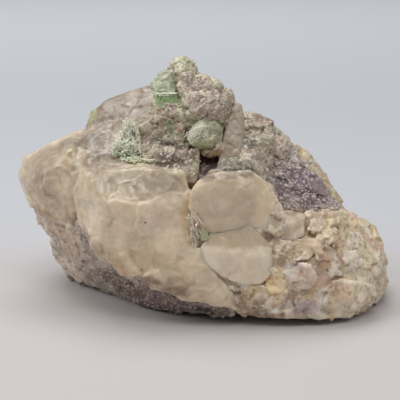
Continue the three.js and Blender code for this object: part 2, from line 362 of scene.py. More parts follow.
def chip(piece: bpy.types.Object, chips: int, seed: int, keep: Span) -> None:
    """Knock flat chips off a solid in seeded random directions.

    Args:
        piece: The solid.
        chips: How many chips are knocked off.
        seed: The number that their directions come from.
        keep: How far out the chips are, as a share of the solid's own reach.
    """
    rng = random.Random(seed)
    for _ in range(chips):
        facing = Vector((rng.gauss(0, 1), rng.gauss(0, 1), rng.gauss(0, 1))).normalized()
        places = [vertex.co.copy() for vertex in piece.data.vertices]
        centre = sum(places, Vector()) / len(places)
        reach = max((place - centre).dot(facing) for place in places)
        cut_off(piece, centre + facing * reach * rng.uniform(*keep), facing)


def rounded_hull(name: str, corners: Iterable[Point], rounding: float) -> bpy.types.Object:
    """Wrap a convex solid with rounded edges round some corners.

    Args:
        name: The piece's name.
        corners: Its corners in mm.
        rounding: The radius of its edges in mm.

    Returns:
        The piece.
    """
    points = [Vector(corner) for corner in corners]
    centre = sum(points, Vector()) / len(points)
    depth = BALL_DEPTH * rounding
    clear_selection()
    piece = None
    for point in points:
        arm = point - centre
        place = (centre + arm * max(0.0, 1 - depth / arm.length)) * MM
        bpy.ops.mesh.primitive_ico_sphere_add(subdivisions=2, radius=rounding * MM, location=place)
        if piece is None:
            piece = bpy.context.object
            piece.name = piece.data.name = name
            settle(piece)
            bpy.ops.object.mode_set(mode="EDIT")
    bpy.ops.mesh.select_all(action="SELECT")
    bpy.ops.mesh.convex_hull(use_existing_faces=False, join_triangles=False)
    bpy.ops.object.mode_set(mode="OBJECT")
    return piece


@cache
def relief_tree() -> bpy.types.NodeTree:
    """Make the geometry nodes that give a solid the relief of a broken mineral.

    Returns:
        The node group. Sizes and heights are in metres.
    """
    numbers = (
        "Swell size", "Swell height", "Facet size", "Facet slope", "Facet blend",
        "Grain size", "Grain slope", "Grain height", "Grain level", "Foot",
    )
    takes = {"Geometry": "Geometry", **dict.fromkeys(numbers, "Float")}
    takes |= {"Offset": "Vector", "Stretch": "Vector"}
    sheet = new_group("mineral_relief", "GeometryNodeTree", takes, {"Geometry": "Geometry"})
    given = sheet.add("NodeGroupInput").outputs
    place = sheet.vector("ADD", sheet.add("GeometryNodeInputPosition").outputs[0], given["Offset"])
    stretched = sheet.vector("MULTIPLY", place, given["Stretch"])

    def cells(start: Any, size: str, stray: float, blend: Any) -> tuple[Any, Any, Any]:
        """Break the ground into cells.

        Args:
            start: The place in the pattern.
            size: The name of the input that holds the cells' size.
            stray: How far the cells stray from even ones, as a share of their size.
            blend: How softly they meet, or None for sharp.

        Returns:
            The way each cell leans, the arm from its middle, and its node.
        """
        scale = sheet.math("DIVIDE", 1.0, given[size])
        drift = sheet.add("ShaderNodeTexNoise", {"Vector": start, "Scale": scale, "Detail": 2.0})
        drift = sheet.vector("SUBTRACT", drift.outputs["Color"], (0.5, 0.5, 0.5))
        drift = sheet.vector("SCALE", drift, scale=sheet.math("MULTIPLY", given[size], stray))
        drifted = sheet.vector("ADD", start, drift)
        node = sheet.add("ShaderNodeTexVoronoi", {"Vector": drifted, "Scale": scale})
        if blend is not None:
            node.feature = "SMOOTH_F1"
            sheet.feed(node.inputs["Smoothness"], blend)
        lean = sheet.vector("SUBTRACT", node.outputs["Color"], (0.5, 0.5, 0.5))
        return lean, sheet.vector("SUBTRACT", drifted, node.outputs["Position"]), node

    swell = {"Vector": place, "Scale": sheet.math("DIVIDE", 1.0, given["Swell size"]), "Detail": 3.0}
    swell = sheet.math("SUBTRACT", sheet.add("ShaderNodeTexNoise", swell).outputs["Fac"], 0.5)
    height = sheet.math("MULTIPLY", sheet.math("MULTIPLY", swell, SWELL_LIFT), given["Swell height"])
    lean, arm, _ = cells(place, "Facet size", FACET_STRAY, given["Facet blend"])
    facet = sheet.math("MULTIPLY", sheet.vector("DOT_PRODUCT", arm, lean), given["Facet slope"])
    height = sheet.math("ADD", height, sheet.math("MULTIPLY", facet, FACET_LIFT))
    lean, arm, node = cells(stretched, "Grain size", GRAIN_STRAY, None)
    grain = sheet.math("MULTIPLY", sheet.vector("DOT_PRODUCT", arm, lean), given["Grain slope"])
    height = sheet.math("ADD", height, grain)
    dent = sheet.math("SUBTRACT", 0.5, node.outputs["Distance"])
    height = sheet.math("ADD", height, sheet.math("MULTIPLY", dent, given["Grain height"]))
    level = sheet.vector("DOT_PRODUCT", lean, (0.6, 0.6, 0.6))
    height = sheet.math("ADD", height, sheet.math("MULTIPLY", level, given["Grain level"]))
    normal = sheet.add("GeometryNodeInputNormal").outputs[0]
    moved = sheet.add("GeometryNodeSetPosition", {"Geometry": given["Geometry"]})
    sheet.feed(moved.inputs["Offset"], sheet.vector("SCALE", normal, scale=height))
    parts = sheet.add("ShaderNodeSeparateXYZ", {0: sheet.add("GeometryNodeInputPosition").outputs[0]})
    resting = sheet.math("MAXIMUM", parts.outputs["Z"], given["Foot"])
    flat = sheet.add("ShaderNodeCombineXYZ", {0: parts.outputs["X"], 1: parts.outputs["Y"], 2: resting})
    stood = {"Geometry": moved.outputs[0], "Position": flat.outputs[0]}
    stood = sheet.add("GeometryNodeSetPosition", stood)
    smooth = sheet.add("GeometryNodeSetShadeSmooth", {"Geometry": stood.outputs[0]})
    sheet.add("NodeGroupOutput", {"Geometry": smooth.outputs[0]})
    return sheet.tree


@dataclass(frozen=True)
class Relief:
    """How a mineral breaks: sizes across and heights in mm, slopes as rise over run."""

    swell_size: float = 16.0
    swell_height: float = 0.4
    facet_size: float = 7.0
    facet_slope: float = 0.07
    facet_blend: float = 0.2
    grain_size: float = 1.2
    grain_slope: float = 0.0
    grain_height: float = 0.0
    grain_level: float = 0.0
    stretch: Point = (1.0, 1.0, 1.0)

    def shape(self, piece: bpy.types.Object, foot: float, offset: float) -> None:
        """Give a solid with an even fine mesh this relief.

        Args:
            piece: The solid.
            foot: The height in mm that no part of it goes below.
            offset: Where in the patterns it starts, so that two pieces don't match.
        """
        values = {
            "Swell size": self.swell_size * MM, "Swell height": self.swell_height * MM,
            "Facet size": self.facet_size * MM, "Facet slope": self.facet_slope,
            "Facet blend": self.facet_blend, "Grain size": self.grain_size * MM,
            "Grain slope": self.grain_slope, "Grain height": self.grain_height * MM,
            "Grain level": self.grain_level * MM, "Foot": foot * MM,
            "Offset": (offset, 2 * offset, 0.5 * offset), "Stretch": self.stretch,
        }
        work_nodes(piece, relief_tree(), values)


# ---------------------------------------------------------------------------------------------------------
# Finishes
# ---------------------------------------------------------------------------------------------------------


@cache
def zone_group() -> bpy.types.NodeTree:
    """Make the shader group that masks a soft-edged ball of mineral.

    Returns:
        The node group.
    """
    takes = {**dict.fromkeys(("Vector", "Centre", "Reach"), "Vector"), "Soft": "Float", "Strength": "Float"}
    sheet = new_group("mineral_zone", "ShaderNodeTree", takes, {"Mask": "Float"})
    given = sheet.add("NodeGroupInput").outputs
    arm = sheet.vector("DIVIDE", sheet.vector("SUBTRACT", given["Vector"], given["Centre"]), given["Reach"])
    inner = sheet.math("SUBTRACT", 1.0, given["Soft"])
    mask = sheet.span(sheet.vector("LENGTH", arm), inner, 1.0, 1.0, 0.0)
    sheet.add("NodeGroupOutput", {"Mask": sheet.math("MULTIPLY", mask, given["Strength"])})
    return sheet.tree


@cache
def grain_group() -> bpy.types.NodeTree:
    """Make the shader group of packed grains: their tones, their height and the way each one faces.

    Returns:
        The node group.
    """
    takes = {"Vector": "Vector", "Size": "Float", "Lean": "Float"}
    gives = {"Tone": "Float", "Level": "Float", "Normal": "Vector"}
    sheet = new_group("mineral_grains", "ShaderNodeTree", takes, gives)
    given = sheet.add("NodeGroupInput").outputs
    scale = sheet.math("DIVIDE", 1.0, given["Size"])
    drift = sheet.add("ShaderNodeTexNoise", {"Vector": given["Vector"], "Scale": scale})
    drift = sheet.vector("SUBTRACT", drift.outputs["Color"], (0.5, 0.5, 0.5))
    place = sheet.vector("ADD", given["Vector"], sheet.vector("SCALE", drift, scale=given["Size"]))
    cells = sheet.add("ShaderNodeTexVoronoi", {"Vector": place, "Scale": scale})
    tone = sheet.add("ShaderNodeSeparateXYZ", {0: cells.outputs["Color"]}).outputs["X"]
    level = sheet.math("SUBTRACT", 1.0, cells.outputs["Distance"])
    lean = sheet.vector("SUBTRACT", cells.outputs["Color"], (0.5, 0.5, 0.5))
    lean = sheet.vector("SCALE", lean, scale=given["Lean"])
    facing = sheet.vector("ADD", sheet.add("ShaderNodeNewGeometry").outputs["Normal"], lean)
    inputs = {"Tone": tone, "Level": level, "Normal": sheet.vector("NORMALIZE", facing)}
    sheet.add("NodeGroupOutput", inputs)
    return sheet.tree


@dataclass(frozen=True)
class Zone:
    """A patch of another tint: its centre and reach in mm."""

    tint: Tint
    centre: Point
    reach: Point
    strength: float = 0.85
    soft: float = 0.6


@dataclass(frozen=True)
class Specks:
    """Single grains of another tint: the share of all grains that they are, and how strongly they show."""

    tint: Tint
    share: float
    strength: float = 0.8


@dataclass(frozen=True)
class Finish:
    """A mineral's surface. Sizes are in mm; depths, shares and strengths run from 0 to 1."""

    name: str
    tint: Tint
    patches: tuple[Tint, ...] = ()
    patch_size: float = 4.0
    patch_share: float = 0.5
    patch_blend: float = 0.0
    cloud_size: float = 6.0
    cloud_depth: float = 0.12
    mottle_size: float = 1.6
    mottle_depth: float = 0.08
    streak: Point = (1.0, 1.0, 1.0)
    streak_turn: Point = (0.0, 0.0, 0.0)
    streak_depth: float = 0.0
    vein_tint: Tint = (214, 203, 186)
    vein_share: float = 0.0
    veil_size: float = 4.0
    veil_depth: float = 0.0
    grain_size: float = 0.8
    grain_depth: float = 0.0
    grain_lean: float = 0.0
    dark: Specks | None = None
    light: Specks | None = None
    tone_depth: float = 0.0
    # Ridges are lightened toward the vein tint, for pale wear and a painted highlight; crevices are darkened
    # toward the crevice tint, for dirt and painted shade.
    edge: float = 0.0
    crevice: float = 0.0
    crevice_tint: Tint = (120, 98, 76)
    roughness: Span = (0.35, 0.55)
    coat: float = 0.0
    milk: float = 0.0
    milk_depth: float = 2.5
    bump: float = 0.15
    bump_size: float = 1.0
    zones: tuple[Zone, ...] = ()

    @cache
    def material(self) -> bpy.types.Material:
        """Make the material, once.

        Returns:
            The material.
        """
        material = bpy.data.materials.new(self.name)
        material.use_nodes = True
        material.node_tree.nodes.clear()
        sheet = NodeSheet(material.node_tree)
        here = sheet.add("ShaderNodeTexCoord").outputs["Object"]
        inputs = {"Vector": here, "Size": self.grain_size * MM, "Lean": self.grain_lean}
        grains = sheet.add("ShaderNodeGroup", inputs, node_tree=grain_group())
        colour = sheet.mix(1.0, self._tints(sheet, here), self._shade(sheet, here, grains), "MULTIPLY")
        colour = self._marks(sheet, here, grains, colour)
        height = self._noise(sheet, here, self.bump_size, 5.0)
        if self.grain_depth > GRAINS_STAND_FROM:
            level = sheet.math("MULTIPLY", grains.outputs["Level"], GRAINS_STAND)
            height = sheet.math("ADD", height, level)
        bump = sheet.add("ShaderNodeBump", {"Height": height, "Distance": self.bump * MM})
        if self.grain_lean:
            sheet.feed(bump.inputs["Normal"], grains.outputs["Normal"])
        rough = sheet.span(self._noise(sheet, here, 3.0, 3.0), 0.3, 0.7, *self.roughness)
        inputs = {
            "Base Color": colour, "Normal": bump.outputs[0], "Roughness": rough,
            "Specular IOR Level": GLOSS,
        }
        if self.coat:
            inputs |= {"Coat Weight": self.coat, "Coat Roughness": COAT_ROUGHNESS}
        if self.milk:
            inputs |= {"Subsurface Weight": self.milk, "Subsurface Radius": MILK_SPREAD,
                       "Subsurface Scale": self.milk_depth * MM}
        surface = sheet.add("ShaderNodeBsdfPrincipled", inputs)
        sheet.add("ShaderNodeOutputMaterial", {"Surface": surface.outputs[0]})
        return material

    @staticmethod
    def _noise(sheet: NodeSheet, place: Any, size: float, detail: float) -> Any:
        """Make cloudy noise with lumps of a size in mm, and return its socket."""
        inputs = {"Vector": place, "Scale": 1 / (size * MM), "Detail": detail, "Roughness": 0.6}
        return sheet.add("ShaderNodeTexNoise", inputs).outputs["Fac"]

    @staticmethod
    def _stray(sheet: NodeSheet, place: Any, size: float, detail: float, depth: float) -> Any:
        """Stray from a place at random.

        Args:
            sheet: The tree.
            place: The place that it starts from.
            size: The size in mm of the lumps that stray together.
            detail: How many finer sizes are added.
            depth: How far they stray, in mm.

        Returns:
            The strayed place's socket.
        """
        inputs = {"Vector": place, "Scale": 1 / (size * MM), "Detail": detail}
        drift = sheet.add("ShaderNodeTexNoise", inputs).outputs["Color"]
        drift = sheet.vector("SUBTRACT", drift, (0.5, 0.5, 0.5))
        return sheet.vector("ADD", place, sheet.vector("SCALE", drift, scale=depth * MM))

    def _tints(self, sheet: NodeSheet, here: Any) -> Any:
        """Lay the patches and zones over the mineral's own tint.

        Args:
            sheet: The material's tree.
            here: The place on the object.

        Returns:
            The colour's socket.
        """
        frayed = self._stray(sheet, here, FRINGE_SIZE, 4.0, FRINGE_DEPTH)
        colour: Any = linear(self.tint)
        if self.patches:
            turbid = self._stray(sheet, here, self.patch_size / 1.4, 6.0, self.patch_size)
            cells = {"Vector": turbid, "Scale": 1 / (self.patch_size * MM)}
            cells = sheet.add("ShaderNodeTexVoronoi", cells)
            pick = sheet.add("ShaderNodeSeparateXYZ", {0: cells.outputs["Color"]}).outputs["Y"]
            colour = sheet.mix(self.patch_share, colour, sheet.steps(pick, self.patches))
        if self.patch_blend:
            for number, tint in enumerate(self.patches):
                adrift = sheet.vector("ADD", here, (0.05 * number, 0.03 * number, 0.0))
                cloud = sheet.span(self._noise(sheet, adrift, 1.8 * self.patch_size, 2.0), 0.46, 0.64)
                colour = sheet.mix(sheet.math("MULTIPLY", cloud, self.patch_blend), colour, linear(tint))
        for zone in self.zones:
            inputs = {
                "Vector": frayed, "Centre": metres(zone.centre), "Reach": metres(zone.reach),
                "Soft": zone.soft, "Strength": zone.strength,
            }
            mask = sheet.add("ShaderNodeGroup", inputs, node_tree=zone_group()).outputs["Mask"]
            colour = sheet.mix(mask, colour, linear(zone.tint))
        return colour

    def _shade(self, sheet: NodeSheet, here: Any, grains: bpy.types.Node) -> Any:
        """Make the cloudy, streaky and grainy shading.

        Args:
            sheet: The material's tree.
            here: The place on the object.
            grains: The node of packed grains.

        Returns:
            The shading's colour socket.
        """
        turn = [math.radians(angle) for angle in self.streak_turn]
        mapping = {"Vector": here, "Rotation": turn, "Scale": self.streak}
        streaked = sheet.add("ShaderNodeMapping", mapping).outputs[0]
        shade: Any = 1.0
        for place, size, depth in (
            (here, self.cloud_size, self.cloud_depth),
            (here, self.mottle_size, self.mottle_depth),
            (streaked, self.mottle_size, self.streak_depth),
        ):
            if depth:
                cloud = sheet.span(self._noise(sheet, place, size, 4.0), 0.3, 0.7, 1 - depth, 1 + depth)
                shade = sheet.math("MULTIPLY", shade, cloud)
        if self.grain_depth:
            depth = self.grain_depth
            tone = sheet.span(grains.outputs["Tone"], 0.0, 1.0, 1 - depth, 1 + depth)
            shade = sheet.math("MULTIPLY", shade, tone)
        if self.tone_depth:
            tone = sheet.add("ShaderNodeAttribute", attribute_name=TONE).outputs["Fac"]
            tone = sheet.span(tone, 0.0, 1.0, 1 - self.tone_depth, 1 + self.tone_depth)
            shade = sheet.math("MULTIPLY", shade, tone)
        return sheet.add("ShaderNodeCombineXYZ", {0: shade, 1: shade, 2: shade}).outputs[0]

    def _marks(self, sheet: NodeSheet, here: Any, grains: bpy.types.Node, colour: Any) -> Any:
        """Lay specks and healed cracks over a colour, then lighten edges with wear and a painted highlight
        and darken crevices with dirt and painted shade.

        Args:
            sheet: The material's tree.
            here: The place on the object.
            grains: The node of packed grains.
            colour: The colour's socket.

        Returns:
            The marked colour's socket.
        """
        tone, vein = grains.outputs["Tone"], linear(self.vein_tint)
        if self.dark:
            share, strength = self.dark.share, self.dark.strength
            mask = sheet.span(tone, share * 0.8, share, strength, 0.0)
            colour = sheet.mix(mask, colour, linear(self.dark.tint))
        if self.light:
            share, strength = self.light.share, self.light.strength
            mask = sheet.span(tone, 1 - share, 1 - 0.8 * share, 0.0, strength)
            colour = sheet.mix(mask, colour, linear(self.light.tint))
        if self.veil_depth:
            inputs = {"Vector": here, "Scale": 1 / (self.veil_size * MM), "Detail": 7.0, "Distortion": 1.6}
            veil = sheet.add("ShaderNodeTexNoise", inputs).outputs["Fac"]
            colour = sheet.mix(sheet.span(veil, 0.5, 0.68, 0.0, self.veil_depth), colour, vein)
        if self.vein_share:
            for size, width in CRACKS:
                ridge = sheet.math("SUBTRACT", self._noise(sheet, here, size, 4.0), 0.5)
                line = sheet.span(sheet.math("ABSOLUTE", ridge), 0.0, width, self.vein_share, 0.0)
                gate = sheet.span(self._noise(sheet, here, 0.7 * size, 2.0), 0.45, 0.58)
                colour = sheet.mix(sheet.math("MULTIPLY", line, gate), colour, vein)
        point = sheet.add("ShaderNodeNewGeometry").outputs["Pointiness"]
        # Ridges lighten toward the vein tint: pale wear and a painted highlight. Crevices darken toward the
        # crevice tint: dirt and painted shade.
        if self.edge:
            colour = sheet.mix(sheet.span(point, *EDGE_WEAR_AND_HIGHLIGHT, 0.0, self.edge), colour, vein)
        if self.crevice:
            low = sheet.span(point, *CREVICE_DIRT_AND_SHADE, self.crevice, 0.0)
            colour = sheet.mix(low, colour, linear(self.crevice_tint))
        return colour


POLLUCITE = Finish(
    "pollucite", (222, 203, 176), ((230, 217, 196), (200, 180, 160), (212, 195, 161), (222, 201, 178)),
    5, 0.2, patch_blend=0.55, cloud_size=9, cloud_depth=0.07, mottle_size=2.4, mottle_depth=0.04,
    streak=(0.7, 1.0, 1.8), streak_turn=(0, 35, 0), streak_depth=0.05, vein_share=0.25,
    vein_tint=(236, 224, 206), veil_size=5, veil_depth=0.3, grain_size=3.4, grain_depth=0.012,
    grain_lean=0.2, milk=0.7, milk_depth=3.4, edge=0.22, crevice=0.3, crevice_tint=(140, 114, 86),
    bump=0.035, bump_size=1.6, coat=0.3, roughness=(0.22, 0.42),
)
LEPIDOLITE = Finish(
    "lepidolite", (186, 171, 160), ((206, 194, 182), (168, 150, 146), (184, 174, 154), (178, 160, 150)),
    3.2, 0.6, cloud_size=5, cloud_depth=0.1, mottle_size=1.6, mottle_depth=0.1, grain_depth=0.1,
    grain_lean=0.3, dark=Specks((112, 94, 88), 0.07, 0.5), light=Specks((226, 218, 210), 0.12, 0.5),
    roughness=(0.35, 0.6), bump=0.15, bump_size=0.8, crevice=0.5, crevice_tint=(118, 98, 84),
    vein_tint=(216, 206, 194), edge=0.4,
)
ALBITE = Finish(
    "albite", (214, 193, 166),
    ((234, 220, 198), (212, 180, 160), (202, 188, 148), (192, 166, 142), (240, 230, 216), (222, 196, 150)),
    3.6, 0.68, cloud_size=4, mottle_depth=0.06, grain_size=1.1, grain_depth=0.05, grain_lean=0.22,
    dark=Specks((166, 134, 106), 0.07, 0.4), light=Specks((236, 224, 204), 0.1, 0.45),
    roughness=(0.35, 0.6), bump=0.1, bump_size=0.8, coat=0.15, milk=0.5, milk_depth=2, crevice=0.36,
    crevice_tint=(168, 130, 94), edge=0.45,
)
TOURMALINE = Finish(
    "tourmaline", (166, 178, 142), cloud_size=3, cloud_depth=0.14, streak=(2.5, 2.5, 0.4),
    streak_depth=0.12, vein_share=0.5, vein_tint=(218, 226, 196), roughness=(0.2, 0.45), milk=0.25,
    milk_depth=1.5, bump=0.1, edge=0.4, crevice=0.5, crevice_tint=(96, 108, 76),
)
BLADE = Finish(
    "blade", (190, 176, 158), cloud_size=4, cloud_depth=0.1, streak=(2.0, 2.0, 0.3), streak_depth=0.12,
    roughness=(0.25, 0.45), milk=0.3, milk_depth=2, bump=0.1, edge=0.3,
)

CONCHOIDAL = Relief(
    swell_size=12, swell_height=0.5, facet_size=7, facet_slope=0.08, facet_blend=0.18, grain_size=2.4,
    grain_slope=0.045,
)
EVEN = Relief(swell_height=0.15, facet_slope=0.03, facet_size=8)
GRANULAR = Relief(
    swell_size=8, swell_height=0.7, facet_size=4, facet_slope=0.24, facet_blend=0.1, grain_size=1.2,
    grain_slope=0.2, grain_height=0.16, grain_level=0.16,
)
BEDDED = Relief(
    swell_size=9, swell_height=0.6, facet_size=4.5, facet_slope=0.2, facet_blend=0.1, grain_size=1.1,
    grain_slope=0.15, grain_height=0.14, grain_level=0.12,
)
BLOCKY = Relief(
    swell_size=9, swell_height=0.4, facet_size=4.6, facet_slope=0.22, facet_blend=0.04, grain_size=1.7,
    grain_slope=0.16, grain_height=0.12, grain_level=0.1,
)
ANGULAR = Relief(
    swell_size=9, swell_height=0.3, facet_size=3.6, facet_slope=0.2, facet_blend=0.02, grain_size=1.1,
    grain_slope=0.16, grain_level=0.05,
)
FIBROUS = Relief(
    swell_size=4, swell_height=0.3, facet_size=3, facet_slope=0.16, facet_blend=0.05, grain_size=0.9,
    grain_height=0.22, grain_level=0.2, stretch=(1.0, 1.0, 0.2),
)


# ---------------------------------------------------------------------------------------------------------
# Pieces
# ---------------------------------------------------------------------------------------------------------


@dataclass
class Piece:
    """One closed piece of one mineral."""

    name: str
    finish: Finish
    slot: Slot
    relief: Relief = CONCHOIDAL
    voxel: float = 0.5
    melt: int = 0
    foot: float = 0.0
    stands_for: tuple[str, ...] = ("rock",)

    def build(self) -> bpy.types.Object:
        """Make the piece and dress it."""
        raise NotImplementedError

    def dress(self, piece: bpy.types.Object) -> bpy.types.Object:
        """Give the piece its finish and its place in the table of pieces.

        Args:
            piece: The piece.

        Returns:
            The same piece.
        """
        piece.name = piece.data.name = self.name
        piece.data.materials.clear()
        piece.data.materials.append(self.finish.material())
        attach(piece, ROOT)
        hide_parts(*self.stands_for)
        LOG.info("%s: %d faces", self.name, len(piece.data.polygons))
        return piece


@dataclass(frozen=True)
class Hull:
    """A broken mass, by the corners of its faces in mm."""

    corners: tuple[Point, ...]
    rounding: float = 1.2
    chips: int = 0
    seed: int = 1

    def solid(self) -> bpy.types.Object:
        """Wrap the corners and knock off the chips."""
        piece = rounded_hull("hull", self.corners, self.rounding)
        chip(piece, self.chips, self.seed, HULL_CHIPS)
        return piece

    def zone(self, tint: Tint) -> Zone:
        """Make a patch that covers this mass where it shows at the front.

        Args:
            tint: The tint of the patch.

        Returns:
            The patch.
        """
        shown = self.corners[: max(4, len(self.corners) - 2)]
        lows, highs = ([pick(corner[axis] for corner in shown) for axis in range(3)] for pick in (min, max))
        centre = tuple((low + high) / 2 for low, high in zip(lows, highs))
        reach = tuple(COVER_REACH * (high - low) + 1 for low, high in zip(lows, highs))
        return Zone(tint, centre, reach, COVER_STRENGTH, COVER_SOFT)


@dataclass(frozen=True)
class Lump:
    """A rounded lump: its centre and half sizes in mm, and how far it is pushed out to a box."""

    centre: Point
    half: Point
    boxy: float = 0.2
    chips: int = 5
    seed: int = 1

    def solid(self) -> bpy.types.Object:
        """Push a ball out to a box, size it and knock the chips off."""
        clear_selection()
        bpy.ops.mesh.primitive_ico_sphere_add(subdivisions=5, radius=1)
        piece = bpy.context.object
        work(piece, "CAST", cast_type="CUBOID", factor=self.boxy)
        piece.scale = Vector(self.half) * MM
        piece.location = Vector(self.centre) * MM
        settle(piece)
        chip(piece, self.chips, self.seed, LUMP_CHIPS)
        return piece


@dataclass
class Mass(Piece):
    """Solids of one mineral that grew together, and the pits in them, each by its centre and half sizes."""

    solids: tuple[Hull | Lump, ...] = ()
    pits: tuple[tuple[Point, Point], ...] = ()

    def build(self) -> bpy.types.Object:
        """Join the solids in one closed skin, hollow out the pits and break the surface.

        Returns:
            The piece.
        """
        parts = [solid.solid() for solid in self.solids]
        take_up(parts[0])
        for part in parts[1:]:
            part.select_set(True)
        if len(parts) > 1:
            bpy.ops.object.join()
        piece = bpy.context.object
        for centre, half in self.pits:
            work(piece, "REMESH", mode="VOXEL", voxel_size=self.voxel * MM)
            clear_selection()
            bpy.ops.mesh.primitive_ico_sphere_add(subdivisions=3, radius=1, location=Vector(centre) * MM)
            cutter = bpy.context.object
            cutter.scale = Vector(half) * MM
            settle(cutter)
            work(piece, "BOOLEAN", object=cutter, operation="DIFFERENCE", solver="EXACT")
            bpy.data.objects.remove(cutter)
        work(piece, "REMESH", mode="VOXEL", voxel_size=self.voxel * MM)
        if self.melt:
            work(piece, "SMOOTH", factor=0.5, iterations=self.melt)
        self.relief.shape(piece, self.foot, sum(map(ord, self.name)) * MM)
        return self.dress(piece)


@dataclass
class Needles(Piece):
    """A brush of thin crystals in a ball, all in one mesh. Sizes are in mm and angles in degrees."""

    centre: Point = (0, 0, 0)
    half: Point = (4, 2, 4)
    along: Point = (0, 0, 1)
    spread: float = 20.0
    length: Span = (3.0, 6.0)
    width: Span = (0.3, 0.6)
    count: int = 60
    seed: int = 1

    def build(self) -> bpy.types.Object:
        """Add the crystals one by one in edit mode, each at its own place and lean.

        Returns:
            The piece.
        """
        rng = random.Random(self.seed)
        clear_selection()
        piece = None
        for _ in range(self.count):
            arm = Vector([rng.gauss(0, 1) for _ in range(3)]).normalized() * rng.random() ** CROWDING
            place = [middle + reach * share for middle, reach, share in zip(self.centre, self.half, arm)]
            stray = Vector([rng.gauss(0, math.radians(self.spread)) for _ in range(3)])
            lean = (Vector(self.along).normalized() + stray).to_track_quat("Z", "Y").to_euler()
            radius = rng.uniform(*self.width) / 2 * MM
            bpy.ops.mesh.primitive_cone_add(
                vertices=NEEDLE_SIDES, radius1=radius, radius2=NEEDLE_TIP * radius,
                depth=rng.uniform(*self.length) * MM, location=Vector(place) * MM, rotation=lean,
            )
            if piece is None:
                piece = bpy.context.object
                settle(piece)
                bpy.ops.object.mode_set(mode="EDIT")
        bpy.ops.object.mode_set(mode="OBJECT")
        return self.dress(piece)


@cache
def scatter_tree() -> bpy.types.NodeTree:
    """Make the geometry nodes that strew copies of a crystal over a surface as real mesh.

    Returns:
        The node group. It gives back only the strewn crystals, each with a random tone.
    """
    takes = {
        "Geometry": "Geometry", "Crystal": "Object", "Density": "Float", "Smallest": "Float",
        "Largest": "Float", "Seed": "Int", "Centre": "Vector", "Reach": "Vector",
    }
    sheet = new_group("crystal_scatter", "GeometryNodeTree", takes, {"Geometry": "Geometry"})
    given = sheet.add("NodeGroupInput").outputs
    place = sheet.add("GeometryNodeInputPosition").outputs[0]
    arm = sheet.vector("DIVIDE", sheet.vector("SUBTRACT", place, given["Centre"]), given["Reach"])
    clumps = {"Vector": place, "Scale": 1 / (CLUMP_SIZE * MM)}
    clumps = sheet.add("ShaderNodeTexNoise", clumps).outputs["Fac"]
    length = sheet.math("ADD", sheet.vector("LENGTH", arm), sheet.math("SUBTRACT", clumps, 0.5))
    inside = sheet.math("LESS_THAN", length, 1.0)
    height = sheet.add("ShaderNodeSeparateXYZ", {0: place}).outputs["Z"]
    above = sheet.math("GREATER_THAN", height, STREWN_ABOVE * MM)
    points = sheet.add("GeometryNodeDistributePointsOnFaces", {"Mesh": given["Geometry"]})
    sheet.feed(points.inputs["Selection"], sheet.math("MULTIPLY", inside, above))
    sheet.feed(points.inputs["Density"], given["Density"])
    sheet.feed(points.inputs["Seed"], given["Seed"])
    crystal = sheet.add("GeometryNodeObjectInfo", {"Object": given["Crystal"]}).outputs["Geometry"]
    size = sheet.add("FunctionNodeRandomValue", {2: given["Smallest"], 3: given["Largest"]})
    sheet.feed(size.inputs["Seed"], sheet.math("ADD", given["Seed"], 7.0))
    strewn = sheet.add("GeometryNodeInstanceOnPoints", {"Points": points.outputs["Points"]})
    sheet.feed(strewn.inputs["Instance"], crystal)
    sheet.feed(strewn.inputs["Rotation"], points.outputs["Rotation"])
    sheet.feed(strewn.inputs["Scale"], size.outputs[1])
    turns = {0: (-math.pi, 0.0, 0.0), 1: (math.pi, math.pi, math.tau), "Seed": given["Seed"]}
    turn = sheet.add("FunctionNodeRandomValue", turns, data_type="FLOAT_VECTOR")
    turned = sheet.add("GeometryNodeRotateInstances", {"Instances": strewn.outputs[0], "Local Space": True})
    sheet.feed(turned.inputs["Rotation"], turn.outputs[0])
    tone = sheet.add("FunctionNodeRandomValue").outputs[1]
    marks = {"Geometry": turned.outputs[0], "Name": TONE, "Value": tone}
    toned = sheet.add("GeometryNodeStoreNamedAttribute", marks, data_type="FLOAT", domain="INSTANCE")
    real = sheet.add("GeometryNodeRealizeInstances", {"Geometry": toned.outputs[0]})
    sheet.add("NodeGroupOutput", {"Geometry": real.outputs[0]})
    return sheet.tree


@dataclass
class Scatter(Piece):
    """Small crystals strewn over another piece, all in one mesh. Sizes are in mm, density per square mm."""

    host: str = ""
    density: float = 0.5
    size: Span = (0.8, 1.6)
    boxy: float = 0.3
    seed: int = 1
    centre: Point = (0, 0, 40)
    reach: Point = (200, 200, 200)

    def build(self) -> bpy.types.Object:
        """Strew a few kinds of crystal over copies of the host and join what is strewn.

        Returns:
            The piece.
        """
        strewn = []
        for kind in range(KINDS):
            clear_selection()
            bpy.ops.mesh.primitive_ico_sphere_add(subdivisions=1 if self.size[1] < 2 else 2, radius=0.5)
            crystal = bpy.context.object
            work(crystal, "CAST", cast_type="CUBOID", factor=self.boxy)
            crystal.scale = CRYSTAL_SHAPE
            settle(crystal)
            chip(crystal, 7, self.seed + kind, CRYSTAL_CHIPS)
            take_up(bpy.data.objects[self.host])
            bpy.ops.object.duplicate()
            copy = bpy.context.object
            values = {
                "Crystal": crystal, "Density": self.density / KINDS / MM**2,
                "Smallest": self.size[0] * MM, "Largest": self.size[1] * MM,
                "Seed": 10 * self.seed + kind,
                "Centre": metres(self.centre), "Reach": metres(self.reach),
            }
            work_nodes(copy, scatter_tree(), values)
            strewn.append(copy)
            bpy.data.objects.remove(crystal)
        take_up(strewn[0])
        for part in strewn[1:]:
            part.select_set(True)
        bpy.ops.object.join()
        return self.dress(bpy.context.object)


# ---------------------------------------------------------------------------------------------------------
# Sub-assemblies
# ---------------------------------------------------------------------------------------------------------

# The small pit under the broken crystal: its centre and half sizes in mm.
PIT = ((2.4, -20, 49), (3.4, 5.4, 3.6))


